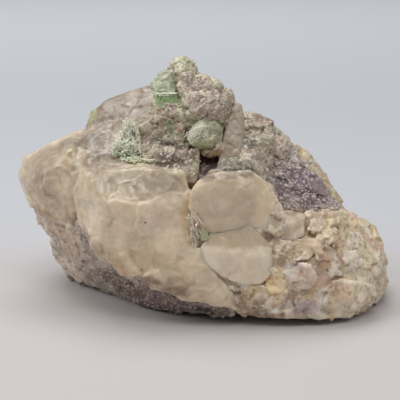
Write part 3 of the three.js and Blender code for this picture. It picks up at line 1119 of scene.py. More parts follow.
@dataclass
class PolluciteBody:
    """The masses of pollucite that make up the left half and the front."""

    left_lobe: Hull = Hull(rounding=2, corners=(
        (-63, 2, 42), (-61, 4, 47), (-53, 6, 50), (-40, 8, 56), (-60, 0, 34), (-58, -1, 30), (-50, -8, 30),
        (-42, -15, 27), (-40, -20, 41), (-42, -15, 53), (-56, -10, 42), (-47, -16, 48), (-59, 18, 40),
        (-52, 20, 46), (-40, 26, 50), (-45, 22, 26), (-30, 5, 30),
    ))
    upper_mass: Hull = Hull(corners=(
        (-40, 6, 56), (-38, 6, 62), (-33, 6, 66), (-24, 8, 69), (-18, 8, 71), (-12, 6, 71), (-41, -13, 51),
        (-32, -18, 51), (-21, -18, 51), (-16, -14, 54), (-37, 24, 54), (-22, 28, 63), (-5, 22, 62),
        (-10, 0, 45), (-35, 10, 40), (-38, -12, 44), (-20, -14, 44),
    ))
    front_mass: Hull = Hull(corners=(
        (-39, -21, 48.6), (-31, -27, 50.2), (-16, -31, 51), (-6, -28, 49), (-4, -30, 43), (-8, -35, 38),
        (-2, -35, 26), (-42, -20, 41), (-41, -20, 32), (-37, -26, 27), (-34, -28, 21), (-27, -32, 19),
        (-17, -34, 14), (-7, -35, 10), (1, -35, 9), (-29, -36, 42), (-16, -38, 41), (-23, -38, 29),
        (-12, -39, 25), (-32, -32, 33), (-30, 0, 48), (-8, 0, 48), (-35, 0, 30), (0, -5, 10),
    ))
    tongue: Hull = Hull(rounding=0.6, corners=(
        (-4, -36, 25), (1, -38, 23), (6, -38, 16), (12, -33, 5.5), (1, -36, 8), (-12, -35, 12),
        (-17, -37, 20), (9, -37, 12), (-5, -39, 17), (1, -38, 15), (-1.4, -36.4, 27), (0, -5, 7),
        (10, -10, 15), (-15, -5, 15),
    ))
    seam: Hull = Hull(rounding=0.8, corners=(
        (-5, -29, 43), (-1, -27, 45), (-4, -33, 36), (-1, -31, 37), (-2, -34, 30), (1, -32, 29),
        (0, -34, 26), (2, -30, 26), (-6, -20, 40), (2, -20, 28),
    ))
    left_seam: Hull = Hull(rounding=1, corners=(
        (-47, -13, 44), (-38, -21, 44), (-46, -12, 33), (-38, -20, 33), (-44, -14, 50), (-38, -18, 50),
        (-40, 0, 40), (-43, -16, 40),
    ))
    shelf: Hull = Hull(rounding=1, corners=(
        (-41, -15, 50), (-37, -21, 49), (-31, -24, 49.8), (-22, -26, 50), (-15, -26, 49.6), (-40, -8, 54),
        (-31, -14, 53), (-20, -16, 50.4), (-30, 0, 45), (-14, -14, 47),
    ))
    rim_chips: tuple[Hull, ...] = (
        Hull(((-31, -31, 22), (-24, -35, 20), (-19, -36, 17), (-26, -33, 16), (-24, -36.5, 25),
              (-26, -25, 20)), 0.4),
        Hull(((-21, -35.5, 17), (-12, -37.5, 15), (-9, -37, 12), (-16, -35, 12), (-14, -38.5, 20),
              (-15, -28, 15)), 0.4),
        Hull(((-11, -37, 14), (-3, -38.5, 13), (0, -37.5, 9), (-7, -35.8, 9), (-5, -39, 17),
              (-5, -28, 12)), 0.4),
        Hull(((-2, -38.5, 14), (7, -37.6, 10), (11.5, -34.6, 5.6), (2, -36, 7.6), (4, -38.5, 15),
              (4, -28, 10)), 0.4),
        Hull(((-2.4, -37.4, 25), (1, -38.3, 21), (5.4, -38.2, 15.4), (2.6, -36.5, 20.4), (6, -36.5, 15),
              (-1, -36, 26), (2, -30, 20), (-4, -34, 22)), 0.3),
        Hull(((-38, -25, 30), (-35, -29.5, 30), (-32, -31.5, 24), (-36, -27, 24), (-34, -20, 27)), 0.4),
    )
    zones: tuple[Zone, ...] = (
        # Painted shade: this zone darkens the top of the front mass, which the lamps above light most.
        Zone((170, 155, 133), (-20, -30, 47), (23, 14, 8), 0.88),
        Zone((160, 142, 122), (-50, -6, 46), (15, 14, 12), 0.8),
        Zone((146, 130, 112), (-43, -4, 52), (7, 14, 4.6), 0.88),
        Zone((178, 162, 139), (-40.6, -17, 45), (4, 8, 7), 0.8),
        Zone((192, 172, 146), (-41, -18, 38.6), (5, 8, 6), 0.75),
        Zone((170, 148, 122), (-44, -13, 30.6), (5, 6, 4), 0.7),
        Zone((150, 126, 104), (-37.4, -25, 27.4), (3.4, 5, 4), 0.75),
        Zone((172, 148, 122), (-33.6, -29, 24.4), (3.6, 6, 3.6), 0.75),
        Zone((168, 144, 118), (-49, -11, 36), (10, 8, 7), 0.65),
        Zone((166, 132, 98), (-51, -6, 29.6), (10, 8, 4), 0.8),
        # Painted shade: these five zones darken the tops of the upper mass and the shelf, and dull the bright
        # rounded rim in front of the shelf.
        Zone((124, 110, 94), (-28, 0, 63), (21, 16, 14), 0.88),
        Zone((106, 90, 74), (-34, -10, 54.4), (11, 9, 7), 0.88),
        Zone((120, 106, 88), (-18, 6, 70), (6, 8, 3), 0.8),
        Zone((102, 87, 70), (-28, -18, 51), (17, 8.4, 3.8), 0.92),
        Zone((146, 130, 108), (-32, -22, 49.4), (10, 8, 3), 0.88),
        Zone((172, 172, 128), (-37, 2, 61), (3, 5, 4), 0.7),
        Zone((226, 213, 192), (-35, -28, 38), (4.4, 6, 5), 0.6),
        Zone((224, 201, 180), (-11, -37, 36), (8, 6, 10), 0.6, 0.4),
        Zone((244, 224, 196), (-7, -38, 28), (9, 6, 8), 0.6, 0.3),
        Zone((210, 186, 146), (-22, -36, 22), (18, 8, 7), 0.6),
        Zone((184, 160, 126), (-28, -32, 21.6), (6, 8, 4.4), 0.7),
        Zone((180, 146, 112), (-26, -32, 18.6), (10, 6, 3.2), 0.6),
        Zone((184, 158, 128), (-8, -38, 16), (7, 6, 4.4), 0.7),
        Zone((242, 222, 194), (5, -37, 12), (7, 6, 6), 0.65),
        Zone((138, 115, 98), (-9, -38, 12.8), (8, 5, 2.6), 0.85),
        Zone((138, 112, 90), (-17, -36, 15.6), (8, 6, 2.8), 0.85),
        Zone((214, 190, 152), (-3.6, -33.4, 34), (4.4, 4.6, 9.4), 0.85, 0.4),
        Zone((104, 76, 52), (-17.7, -38, 35.2), (0.45, 3, 0.45), 0.9),
    )

    def build(self) -> list[bpy.types.Object]:
        """Build the lobe, the upper mass, the front mass and the tongue, grown together."""
        finish = replace(POLLUCITE, name="pollucite_body", zones=self.zones)
        solids = (
            self.left_lobe, self.upper_mass, self.front_mass, self.tongue, self.seam, self.left_seam,
            self.shelf, *self.rim_chips,
        )
        seam_pit = ((-3.2, -38, 35), (4.4, 3.0, 8.6))
        slot = Slot.POLLUCITE
        return [Mass("pollucite_body", finish, slot, melt=2, solids=solids, pits=(seam_pit,)).build()]


@dataclass
class LepidoliteBed:
    """The wall and foot of lepidolite under the pollucite."""

    left_wall: Hull = Hull(corners=(
        (-57, 0, 30), (-56, 3, 24), (-53, 6, 19), (-50, 9, 14), (-42, -14, 31), (-37, -20, 27),
        (-34, -21, 21), (-54, 20, 32), (-46, 26, 16), (-20, 0, 10), (-30, 10, 34),
    ))
    foot: Hull = Hull(corners=(
        (-53, 8, 17), (-51, 12, 9), (-48, 15, 3), (-45, 18, -1), (-37, 12, -2), (-28, 2, -2),
        (-24, -10, 0.8), (-20, -15, 0.8), (-12, -22, 1.6), (-7, -25, 2.8), (-2, -28.5, 3.6), (4, -31, 4.2),
        (10, -31.5, 3.8), (-8, -8, -1), (8, -12, -1), (-35, -20, 22), (-24, -26, 17), (-12, -30, 11),
        (-1, -32, 7.5), (10, -31, 6), (-48, 24, 18), (-42, 32, 14), (-36, 34, -1), (20, 20, 20),
    ))
    zones: tuple[Zone, ...] = (
        Zone((208, 186, 165), (-44, -6, 22), (13, 16, 13), 0.92),
        Zone((246, 232, 214), (-54, 4, 21), (5.4, 10, 15), 0.9),
        Zone((242, 226, 206), (-47, 6, 6), (9, 14, 11), 0.9),
        # The dark foot band: partly the lepidolite's own darker tone, partly painted shade under the
        # overhang.
        Zone((132, 110, 108), (-10, -22, 5), (22, 16, 9), 0.85, 0.4),
        Zone((126, 106, 100), (-28, -15, 8.6), (13, 11, 7), 0.85, 0.4),
        Zone((166, 138, 112), (-46, -8, 28.2), (5, 7, 3), 0.8),
        Zone((130, 107, 94), (-38, -20, 26), (4.4, 7, 4.4), 0.8),
        # Painted shadow: a near-black tint along the front bottom edge of the foot, which stands just off the
        # floor.
        Zone((72, 58, 54), (2, -30, 4), (10, 6, 2.4), 0.85),
    )

    def build(self) -> list[bpy.types.Object]:
        """Build the wall under the lobe and the foot of the left half, grown together."""
        finish = replace(LEPIDOLITE, name="lepidolite_bed", zones=self.zones)
        grains = replace(finish, name="bed_grains", tone_depth=0.28)
        solids = (self.left_wall, self.foot)
        return [
            Mass("lepidolite_bed", finish, Slot.LEPIDOLITE, BEDDED, melt=2, solids=solids).build(),
            Scatter("bed_grains", grains, Slot.LEPIDOLITE, host="lepidolite_bed", density=0.35,
                    size=(0.6, 1.4), seed=2, centre=(-16, -22, 6), reach=(28, 26, 10)).build(),
        ]


@dataclass
class Crest:
    """The crest of lepidolite and albite, with the knob on it and the ground below it."""

    crest: Hull = Hull(corners=(
        (-9, -7, 73), (-2, 2, 76), (1, 3, 73), (4.4, 3, 71.4), (7.6, 3, 66.6), (11.4, 2, 65.4),
        (12, -4, 62), (-7, -11, 67), (-1, -11, 70), (6, -11, 66), (1, -12, 62), (8, -11, 59), (-6, -12, 60),
        (-6, 12, 71), (7, 12, 65), (0, 12, 55), (-10, 8, 60),
    ))
    knob: Hull = Hull(rounding=1, corners=(
        (-12, 2, 75), (-11.4, 2, 79), (-8.5, 3, 81.4), (-6, 3, 81.4), (-3, 3, 79.6), (-1.6, 2, 76),
        (-9, -4, 74), (-6, -5, 76), (-4, -5, 74), (-10, 9, 78), (-4, 10, 78), (-14, 4, 68), (0, 4, 68),
        (-7, -8, 68), (-7, 14, 68),
    ))
    ground: Hull = Hull(corners=(
        (-18, -12, 64), (-15, -7, 69), (-8, -8, 68), (-17, -18, 54), (-7, -17, 54), (-20, -15, 58),
        (-15, -18, 50), (-5, -19, 49), (-5, 0, 60), (-16, 0, 62), (0, -8, 48),
    ))
    ledge_piece: Hull = Hull(rounding=0.8, corners=(
        (-21, -19, 52.5), (-19.6, -15, 57), (-16.5, -18.6, 57), (-12, -19, 55), (-5, -20, 53.6),
        (-4, -26, 47), (-10, -27, 47.5), (-19, -23.5, 49.6), (-12, -14, 51), (-6, -14, 50),
        (-14, -22.6, 53.6),
    ))
    shoulder: Hull = Hull(corners=(
        (13, 3, 62), (19, 4, 62), (23, 4, 58), (26, 4, 56), (13, -7, 57), (14, -14, 50), (11, -18, 44),
        (19, -19, 45), (18, -12, 54), (23, -12, 51), (14, 16, 60), (24, 14, 54), (10, 0, 40), (20, 0, 35),
    ))
    sill: Hull = Hull(rounding=0.8, corners=(
        (3, -30.4, 49.4), (7, -31, 50.4), (11, -30.8, 50.6), (4, -26, 51), (9, -24, 52), (12, -22, 53),
        (5, -20, 50), (10, -18, 48), (10, -27, 45),
    ))
    ramp: Hull = Hull(rounding=0.8, corners=(
        (10, -30.4, 50.2), (14, -30.4, 50.8), (17.6, -29.2, 48.8), (19.4, -27.6, 45.6), (12, -24, 54),
        (14, -16, 57.5), (18, -15, 56.5), (20, -19, 51), (21, -22, 46), (12, -13, 52), (20, -12, 50),
    ))
    lumps: tuple[Lump, ...] = (
        Lump((1.6, -6.4, 65.6), (8.4, 7.6, 6.6), seed=31),
        Lump((0, 0, 70.4), (7, 6.6, 4.8), seed=32),
        Lump((5.6, -0.6, 66.2), (4.8, 6, 4.8), seed=33),
        Lump((-15.6, -11.4, 59.6), (5.4, 5, 5.2), seed=34),
        Lump((-10, -8.8, 63.4), (4.4, 5, 4.8), seed=35),
        Lump((3.4, -12, 53.4), (4.4, 4.4, 2.8), seed=36),
        Lump((19.6, -2, 57.6), (4.6, 5.4, 3.8), seed=37),
        Lump((18, -9.4, 54), (6, 4.6, 4.2), seed=38),
        Lump((24.4, -4, 51.4), (4.6, 5.4, 4), seed=39),
        Lump((13.6, -15, 47.6), (5, 4.6, 3.6), seed=40),
    )
    nub: Hull = Hull(rounding=1, corners=(
        (-6, -21, 53), (-3.6, -20, 55.4), (-1.4, -22, 53), (-1, -25, 48.6), (-3, -28, 45.6),
        (-7, -27, 46.4), (-4, -14, 48), (-2, -14, 54),
    ))
    zones: tuple[Zone, ...] = (
        Zone((192, 188, 158), (-7, 0, 79), (8, 9, 5), 0.85),
        Zone((158, 138, 130), (-2, -6, 73.4), (6, 6, 4), 0.8),
        Zone((204, 182, 170), (-3, -12, 68), (5, 5, 4.4), 0.7),
        Zone((180, 156, 148), (3, -13, 65.4), (6.4, 6, 5), 0.8),
        Zone((138, 117, 107), (4.2, -7, 70.2), (4.8, 7, 3.6), 0.85),
        Zone((156, 136, 126), (7.6, -8, 66.6), (5, 7, 6), 0.8),
        Zone((206, 190, 164), (7.6, -11, 62.8), (4, 6, 3.8), 0.8),
        Zone((196, 198, 164), (-6.4, -11, 66), (3.2, 4, 9), 0.85),
        Zone((184, 184, 156), (2, -14, 61.6), (8, 5, 1.8), 0.8),
        Zone((154, 137, 112), (-14, -12, 63.4), (8, 7, 6), 0.8),
        # Painted shade: a dark tint in the crevice at the foot of the ground, by the spray.
        Zone((80, 69, 58), (-14.6, -17.6, 55.8), (6.4, 4, 3.4), 0.88),
        Zone((122, 114, 84), (-6, -13, 58.4), (2.8, 5, 3.2), 0.85),
        Zone((142, 162, 116), (-10.6, -14, 60.6), (2.6, 4, 3.2), 0.7),
        # Painted shade: these two zones darken the crevice under the stub and the top of the ledge piece
        # below it.
        Zone((66, 52, 44), (-8, -18, 55.6), (7.4, 3.4, 2.2), 0.9),
        Zone((88, 71, 60), (-10, -22.5, 51), (9.4, 5, 4.6), 0.88),
        Zone((152, 134, 112), (-18, -21.6, 51.5), (4, 4, 3), 0.8),
        Zone((156, 112, 76), (-8, -15, 60), (1, 3, 2), 0.6),
        # Painted shade in the pit under the broken crystal; the next zone is painted light, lightening a lump
        # that lies in the pit's shade.
        Zone((96, 73, 66), (2, -12, 48.4), (6.4, 10, 4.4), 0.95),
        Zone((224, 194, 154), (3, -14, 53.2), (5.8, 5, 2.8), 0.88),
        Zone((122, 97, 91), (20, -1, 60), (5.4, 6, 4.4), 0.9),
        Zone((150, 146, 126), (18, -11, 54.6), (7.6, 5, 4.4), 0.88),
        Zone((214, 192, 180), (22, -7, 51.6), (7, 8, 5), 0.9),
        Zone((146, 140, 122), (14, -17, 47), (8, 5, 4.4), 0.85),
        # Painted shade: these two zones darken the top of the sill, which the lamps above light most.
        Zone((108, 100, 86), (10, -28, 50.4), (11, 7, 4.6), 0.9),
        Zone((118, 116, 100), (8, -25, 53), (5, 6, 4), 0.8),
        Zone((150, 132, 118), (17, -20, 55), (7, 8, 5), 0.75),
        # Painted shade: these two zones darken the nub, under the overhanging stub.
        Zone((104, 88, 66), (-3.4, -21, 53.4), (4, 5, 3.6), 0.88),
        Zone((124, 108, 80), (-2.6, -26, 47.6), (4, 4, 2.8), 0.85),
        Zone((96, 90, 76), (14.2, -16, 56.4), (4, 6, 5.4), 0.92, 0.4),
        Zone((206, 190, 170), (20.6, -16, 53.4), (3.6, 7, 4.4), 0.85),
    )

    def build(self) -> list[bpy.types.Object]:
        """Build the crest, the knob, the ground and the shoulder, grown together, and their grains."""
        finish = replace(
            LEPIDOLITE, name="crest_rock", tint=(192, 178, 156), grain_size=0.7, zones=self.zones,
            patches=((212, 202, 178), (184, 166, 150), (190, 186, 156), (194, 172, 154)),
            dark=Specks((92, 74, 66), 0.13, 0.6), light=Specks((236, 228, 210), 0.12, 0.5),
        )
        grains = replace(finish, name="crest_grains", tone_depth=0.25)
        solids = (
            self.crest, self.knob, self.ground, self.shoulder, self.ledge_piece, self.sill, self.ramp,
            self.nub, *self.lumps,
        )
        slot = Slot.LEPIDOLITE
        return [
            Mass("crest_rock", finish, slot, GRANULAR, 0.45, melt=2, solids=solids, pits=(PIT,)).build(),
            Scatter("crest_grains", grains, slot, host="crest_rock", density=0.22, size=(0.5, 1.1),
                    seed=3, centre=(-3, -6, 64), reach=(19, 16, 20)).build(),
        ]


@dataclass
class RightEnd:
    """The lepidolite slope and the albite block of the right half, with the crystals that show in them."""

    slope: Hull = Hull(corners=(
        (23, 4, 57.6), (29.5, 4, 50.6), (34, 4, 47.6), (38, 4, 44), (40.4, 3, 40.4), (43.4, 2, 36),
        (45.4, 1, 32), (46.6, -1, 29), (19, -18, 45), (24, -22, 36), (32, -20, 34), (43, -12, 32),
        (31.5, -8, 46.4), (37.4, -8, 39.4), (28, 20, 48), (40, 18, 36), (15, 0, 30), (45, 12, 26),
    ))
    edge_band: Hull = Hull(rounding=0.8, corners=(
        (30, 4, 51.6), (33.8, 4, 49.2), (38.4, 4, 45), (40.8, 3, 41.2), (44, 3, 36.5), (46.2, 2, 32.2),
        (47.6, -1, 29), (30.4, -2.4, 49), (34.6, -5.4, 45), (38.6, -6, 41), (43, -5.6, 36),
        (45.4, -6, 31.4), (33, 14, 46), (44, 12, 30),
    ))
    plate: Hull = Hull(rounding=0.5, corners=(
        (33, -9, 44.6), (37.2, -3, 43.9), (41, -6.4, 38.8), (39.4, -11.6, 37.4), (35, -13.6, 39.4),
        (34, 0, 36),
    ))
    block: Hull = Hull(corners=(
        (47, -2, 31), (50, -3, 29), (54, -3, 27), (57, -5, 26), (59, -9, 21), (61, -11, 16), (62, -10, 8),
        (60.6, -9, 2), (58, -9, -1), (54.6, -16, 0.6), (51.8, -22.6, 0.8), (50, -12, -1), (47, -30, 1.6),
        (42, -33, 2.4), (36, -34.4, 2.6), (30.6, -35.2, 3.1), (21.4, -35.2, 4), (12, -31.8, 3.6),
        (44, -18, -1), (18, -16, -1), (23, -23, 35), (32, -24, 34), (44, -18, 30), (30, -27, 27),
        (18, -31, 12), (28, -35, 22), (34, -35, 22), (45, -31, 19), (52, -28, 12), (28, -35, 10),
        (40, -32, 8), (62, 6, 8), (60, 14, 16), (50, 16, 23), (56, 21, -1), (20, -10, 2),
    ))
    base: Hull = Hull(rounding=0.8, corners=(
        (6, -34.6, 12.6), (7, -33, 8.6), (8, -31.8, 4.4), (17, -33.6, 3.8), (24, -36, 4.4), (27, -36.4, 12),
        (20, -36.8, 14.8), (14, -36.6, 14.4), (10, -20, 6), (24, -20, 8),
    ))
    saddle: Hull = Hull(rounding=0.8, corners=(
        (1.5, -33.6, 30), (1, -35, 24), (2, -36, 17), (6, -33.8, 33), (16, -32.8, 33), (21.6, -30.8, 36.4),
        (24.6, -28.6, 39.6), (25.8, -30.2, 31), (28, -31.6, 25), (24.6, -35, 19), (16, -36, 14),
        (8, -36.4, 13.4), (20, -25, 45), (4, -20, 30), (24, -20, 20),
    ))
    slope_zones: tuple[Zone, ...] = (
        Zone((138, 128, 116), (22, -15, 46), (6, 8, 8), 0.75),
        Zone((98, 78, 92), (33, -12, 41), (14, 12, 11), 0.88),
        Zone((108, 92, 96), (24, -20, 40), (5, 8, 5), 0.8),
        Zone((222, 200, 186), (21.6, -7, 52), (6, 7, 4.6), 0.85),
        Zone((150, 128, 146), (33, -10, 43), (7, 9, 5), 0.7),
    )
    block_zones: tuple[Zone, ...] = (
        Zone((190, 168, 170), (32, -36, 7), (7, 6, 4), 0.85),
        Zone((176, 152, 132), (38, -20, 34), (10, 8, 2.2), 0.6),
        Zone((150, 128, 122), (17.4, -34, 7.4), (3.4, 5, 5), 0.85),
        Zone((186, 150, 118), (12.6, -35, 11.4), (3, 5, 3.4), 0.8),
        Zone((240, 230, 216), (22, -35, 5.6), (3.4, 5, 3), 0.7),
        Zone((255, 224, 180), (22.6, -35, 14.4), (4, 5, 7), 0.8),
        Zone((250, 246, 238), (27, -37, 19.5), (1.6, 4, 3.4), 0.7),
        Zone((216, 196, 196), (29.4, -37, 21.4), (2.4, 4, 1.6), 0.7),
        Zone((178, 162, 126), (42.4, -22, 29.4), (4, 8, 3), 0.75),
        Zone((152, 130, 106), (41.8, -26, 28.4), (2.6, 6, 2.2), 0.85),
        Zone((194, 170, 142), (35.6, -31, 26.4), (4.6, 6, 3.2), 0.6),
        Zone((150, 124, 104), (20, -35, 4.2), (10, 6, 1.6), 0.7),
        Zone((206, 190, 146), (54, -20, 21), (7, 7, 7), 0.6),
        Zone((206, 170, 150), (49.6, -24, 25.6), (4, 6, 2.4), 0.6),
        Zone((204, 168, 138), (38.4, -33, 21), (4, 5, 4), 0.7),
        Zone((122, 90, 62), (20.6, -33, 29.4), (3.6, 4, 2.2), 0.9),
        Zone((84, 62, 48), (39.4, -34, 18.4), (0.7, 4, 0.6), 0.9),
        Zone((232, 208, 184), (58, -16, 5), (7, 10, 7), 0.7),
        Zone((224, 194, 162), (43.5, -34, 11), (5, 4, 3.6), 0.8),
        Zone((244, 234, 226), (37.5, -35, 10), (2.6, 4, 4), 0.7),
    )
    glassy: Hull = Hull(rounding=0.8, corners=(
        (22.6, -28, 35), (23, -31, 31), (23.8, -32, 27.6), (28.6, -32, 27.4), (32.2, -29.6, 28.6),
        (32.4, -26.6, 34), (28.6, -26, 36.2), (24, -26, 36.6), (28, -30.4, 33), (26, -18, 30),
        (32, -20, 28),
    ))
    crystals: tuple[tuple[Tint, Hull], ...] = (
        ((216, 188, 170), Hull(rounding=0.5, corners=(
            (32.6, -25.4, 35.2), (40.6, -17, 34), (41.6, -21, 31.4), (38.8, -29, 28.8), (32.8, -30, 30.6),
            (36, -27.4, 33.2), (34, -16, 28), (40, -16, 28)))),
        ((208, 193, 150), Hull(rounding=0.5, corners=(
            (41.4, -18, 33.8), (47, -12.4, 31.4), (48.2, -15.4, 29.4), (44, -23.6, 27.8),
            (39.2, -27.4, 28.8), (41, -22.8, 32.2), (44, -12, 26), (40, -20, 26)))),
        ((232, 208, 174), Hull(rounding=0.5, corners=(
            (35.6, -27.6, 30.4), (42, -24, 30), (43.4, -27.4, 27.6), (40, -31.4, 26.8), (35.4, -31, 27.8),
            (40, -22, 26)))),
        ((238, 208, 178), Hull(rounding=0.4, corners=(
            (40.6, -26, 28.8), (45, -21.6, 28.9), (46.2, -24.6, 24.8), (41, -29.4, 25), (44, -18, 24),
            (42, -22, 22)))),
        ((170, 149, 120), Hull(rounding=0.4, corners=(
            (21.6, -32, 28.2), (27.6, -32, 28.4), (29, -34.8, 25), (27.8, -37.2, 20.6), (22, -37, 21),
            (24, -36.2, 25.4), (24, -24, 24), (28, -26, 22)))),
        ((176, 154, 124), Hull(rounding=0.4, corners=(
            (28.6, -32, 28.4), (34.6, -30.6, 28.8), (35.2, -34, 24.5), (33, -36.6, 23), (28.6, -37, 22.8),
            (30, -26, 24), (34, -26, 23)))),
        ((198, 172, 142), Hull(rounding=0.4, corners=(
            (35, -31, 28.2), (40, -30, 25.8), (41, -32, 21.6), (35.6, -36, 22.6), (35, -33.6, 26.6),
            (36, -24, 22)))),
        ((240, 218, 202), Hull(rounding=0.6, corners=(
            (27, -36.8, 21.8), (34, -37.2, 21.8), (36, -36.8, 17), (34.6, -36.3, 13.2), (29.6, -36.6, 12.6),
            (26.4, -36.2, 15.6), (31, -38, 17.5), (30, -26, 18)))),
        ((255, 229, 187), Hull(rounding=0.4, corners=(
            (21, -36.8, 21), (26.8, -37, 21), (26.8, -36.6, 16), (25, -35.6, 12), (21.5, -33.4, 8.5),
            (17.6, -31, 9), (18.6, -33.6, 13), (20, -35.4, 17), (22, -24, 14)))),
        ((240, 228, 210), Hull(rounding=0.4, corners=(
            (20, -33.4, 8.6), (25, -34, 9.6), (26, -32.6, 5.4), (21.6, -31.4, 4), (23, -24, 6)))),
        ((224, 212, 194), Hull(rounding=0.5, corners=(
            (44.6, -28, 23.4), (49.6, -24, 22.6), (51.6, -25.4, 18.5), (47.5, -30, 16.4), (44.6, -31, 19),
            (47.6, -29.4, 20.6), (46, -20, 18)))),
        ((252, 234, 206), Hull(rounding=1, corners=(
            (36, -35.2, 11.5), (41, -34.6, 15), (48.5, -31.6, 14.5), (56, -23.6, 10), (55.5, -23, 5.6),
            (48, -30, 3.6), (40, -33.2, 4), (36.6, -35, 7), (45, -34.2, 9.4), (44, -20, 8)))),
    )

    def build(self) -> list[bpy.types.Object]:
        """Build the slope, its pale edge, the block and its crystals."""
        slope = replace(LEPIDOLITE, name="lepidolite_slope", zones=self.slope_zones)
        grains = replace(
            LEPIDOLITE, name="slope_grains", tint=(158, 136, 148), patch_share=0.35, tone_depth=0.5,
            patches=((206, 196, 200), (126, 104, 122), (178, 156, 168), (148, 126, 144)),
        )
        lumps = replace(
            grains, name="slope_lumps", tint=(176, 158, 158), tone_depth=0.4,
            patches=((206, 194, 182), (136, 112, 130), (190, 176, 150), (152, 130, 144)),
        )
        plate = replace(BLADE, name="purple_plate", tint=(138, 121, 125), roughness=(0.4, 0.6))
        edge = replace(ALBITE, name="albite_edge", tint=(186, 171, 136), patch_share=0.3)
        hulls = (self.block, self.base, self.saddle, *(hull for _, hull in self.crystals))
        zones = (*(hull.zone(tint) for tint, hull in self.crystals), *self.block_zones)
        block = replace(ALBITE, name="albite_block", zones=zones, veil_size=3, veil_depth=0.35)
        glassy = replace(POLLUCITE, name="glassy_block", tint=(190, 173, 154), patch_share=0.2,
                         zones=(Zone((156, 142, 126), (28, -27, 36.4), (7, 5, 2.4), 0.8),))
        chips = replace(block, name="albite_grains", tone_depth=0.16)
        pale = replace(
            ALBITE, name="slope_needles", tint=(232, 224, 220), dark=None, patch_share=0.2, crevice=0.0,
        )
        pieces = [
            Mass("lepidolite_slope", slope, Slot.LEPIDOLITE, GRANULAR, solids=(self.slope,)),
            Mass("albite_edge_band", edge, Slot.ALBITE, ANGULAR, 0.4, solids=(self.edge_band,)),
            Mass("purple_plate", plate, Slot.LEPIDOLITE, ANGULAR, 0.35, solids=(self.plate,)),
            Mass("albite_block", block, Slot.ALBITE, BLOCKY, 0.4, melt=2, solids=hulls),
            Mass("glassy_block", glassy, Slot.ALBITE, EVEN, 0.35, 1, solids=(self.glassy,)),
            Scatter("slope_grains", grains, Slot.LEPIDOLITE, host="lepidolite_slope", density=0.85,
                    size=(0.45, 1.4), seed=5, centre=(34, -12, 40), reach=(16, 16, 13)),
            Scatter("slope_lumps", lumps, Slot.LEPIDOLITE, host="lepidolite_slope", density=0.14,
                    size=(0.9, 1.9), seed=13, boxy=0.6, centre=(29, -8, 43), reach=(13, 16, 13)),
            Scatter("albite_grains", chips, Slot.ALBITE, host="albite_block", density=0.16,
                    size=(0.4, 0.9), seed=9, boxy=0.6, centre=(54, -16, 16), reach=(14, 14, 18)),
            Needles("slope_needles", pale, Slot.ALBITE, centre=(29, -20, 36.4), half=(1.6, 0.6, 0.9),
                    along=(0.7, -0.3, -0.6), spread=5, length=(2, 3.4), width=(0.25, 0.4), count=12,
                    seed=11),
        ]
        return [piece.build() for piece in pieces]


@dataclass
class BackOfRock:
    """The heart of the rock, its three back masses and the seam that closes the gap between them."""

    heart: Hull = Hull(corners=(
        (-36, -12, 20), (-10, -22, 8), (14, -29, 7), (40, -26, 7), (50, -8, 22), (40, 4, 36), (20, -12, 44),
        (-2, -20, 46), (-34, -12, 44), (-36, 8, 52), (-12, 8, 62), (12, 6, 58), (-30, 20, -1), (40, 20, -1),
        (-10, -10, -1), (44, -14, -1),
    ))
    back_left: Hull = Hull(chips=4, seed=9, corners=(
        (-59, 16, 38), (-52, 28, 44), (-38, 35, 50), (-22, 37, 55), (-6, 36, 57), (2, 38, 40), (-2, 39, 20),
        (-30, 38, 14), (-48, 33, 14), (-36, 35, -1), (2, 37, -1), (-12, 10, 66), (-30, 8, 60), (-10, 0, 10),
    ))
    back_crest: Hull = Hull(chips=3, seed=11, corners=(
        (-9, 10, 74), (1, 12, 71.6), (10, 12, 65), (-15, 20, 66), (-9, 33, 58), (5, 34, 57), (14, 27, 56),
        (4, 38, 45), (-8, 38, 42), (14, 36, 40), (0, 0, 40),
    ))
    back_right: Hull = Hull(chips=4, seed=13, corners=(
        (46, -2, 30), (50, 18, 23), (57, 22, 8), (46, 34, 10), (26, 38, 18), (6, 39, 30), (2, 38, 46),
        (14, 30, 55), (30, 24, 47), (39, 16, 39), (34, 35, -1), (0, 37, -1), (54, 23, -1), (58, 0, 10),
        (6, 12, 65), (0, 0, 20),
    ))
    back_seam: Hull = Hull(corners=(
        (-8, 35, 50), (-11, 37.6, 38), (-5, 38.8, 30), (-9, 38.2, 18), (-4, 37.6, 6), (-6, 34, 0),
        (12, 36.6, 0), (14, 37.4, 16), (10, 38.2, 32), (12, 35, 46), (0, 29, 53), (0, 20, 30),
    ))

    def build(self) -> list[bpy.types.Object]:
        """Build the heart and the back."""
        lepidolite, pollucite, albite = Slot.LEPIDOLITE, Slot.POLLUCITE, Slot.ALBITE
        back = replace(ALBITE, name="albite_back", patch_share=0.42, patch_blend=0.3)
        # The back pollucite takes the body's zones, with the painted shade on its tops.
        shaded = replace(POLLUCITE, name="pollucite_back", zones=PolluciteBody().zones)
        # Painted shade: a dark tint on the floor of the pit under the broken crystal.
        painted_pit_shade = Zone((92, 68, 70), (2, -14, 48), (9, 12, 7), 0.9)
        dark = replace(LEPIDOLITE, name="heart_rock", zones=(painted_pit_shade,))
        broad = replace(
            CONCHOIDAL, swell_size=18, swell_height=2, facet_size=15, facet_slope=0.11, facet_blend=0.12,
        )
        rough = replace(BLOCKY, swell_size=16, swell_height=1, facet_size=9, facet_slope=0.22)
        pieces = [
            Mass("heart", dark, lepidolite, GRANULAR, 0.7, 0, 0.15, solids=(self.heart,), pits=(PIT,)),
            Mass("back_left", shaded, pollucite, broad, 0.6, 2, 0.3, solids=(self.back_left,)),
            Mass("back_crest", back, albite, rough, 0.6, 0, solids=(self.back_crest,)),
            Mass("back_right", back, albite, rough, 0.6, 0, 0.45, solids=(self.back_right, self.back_seam)),
        ]
        return [piece.build() for piece in pieces]


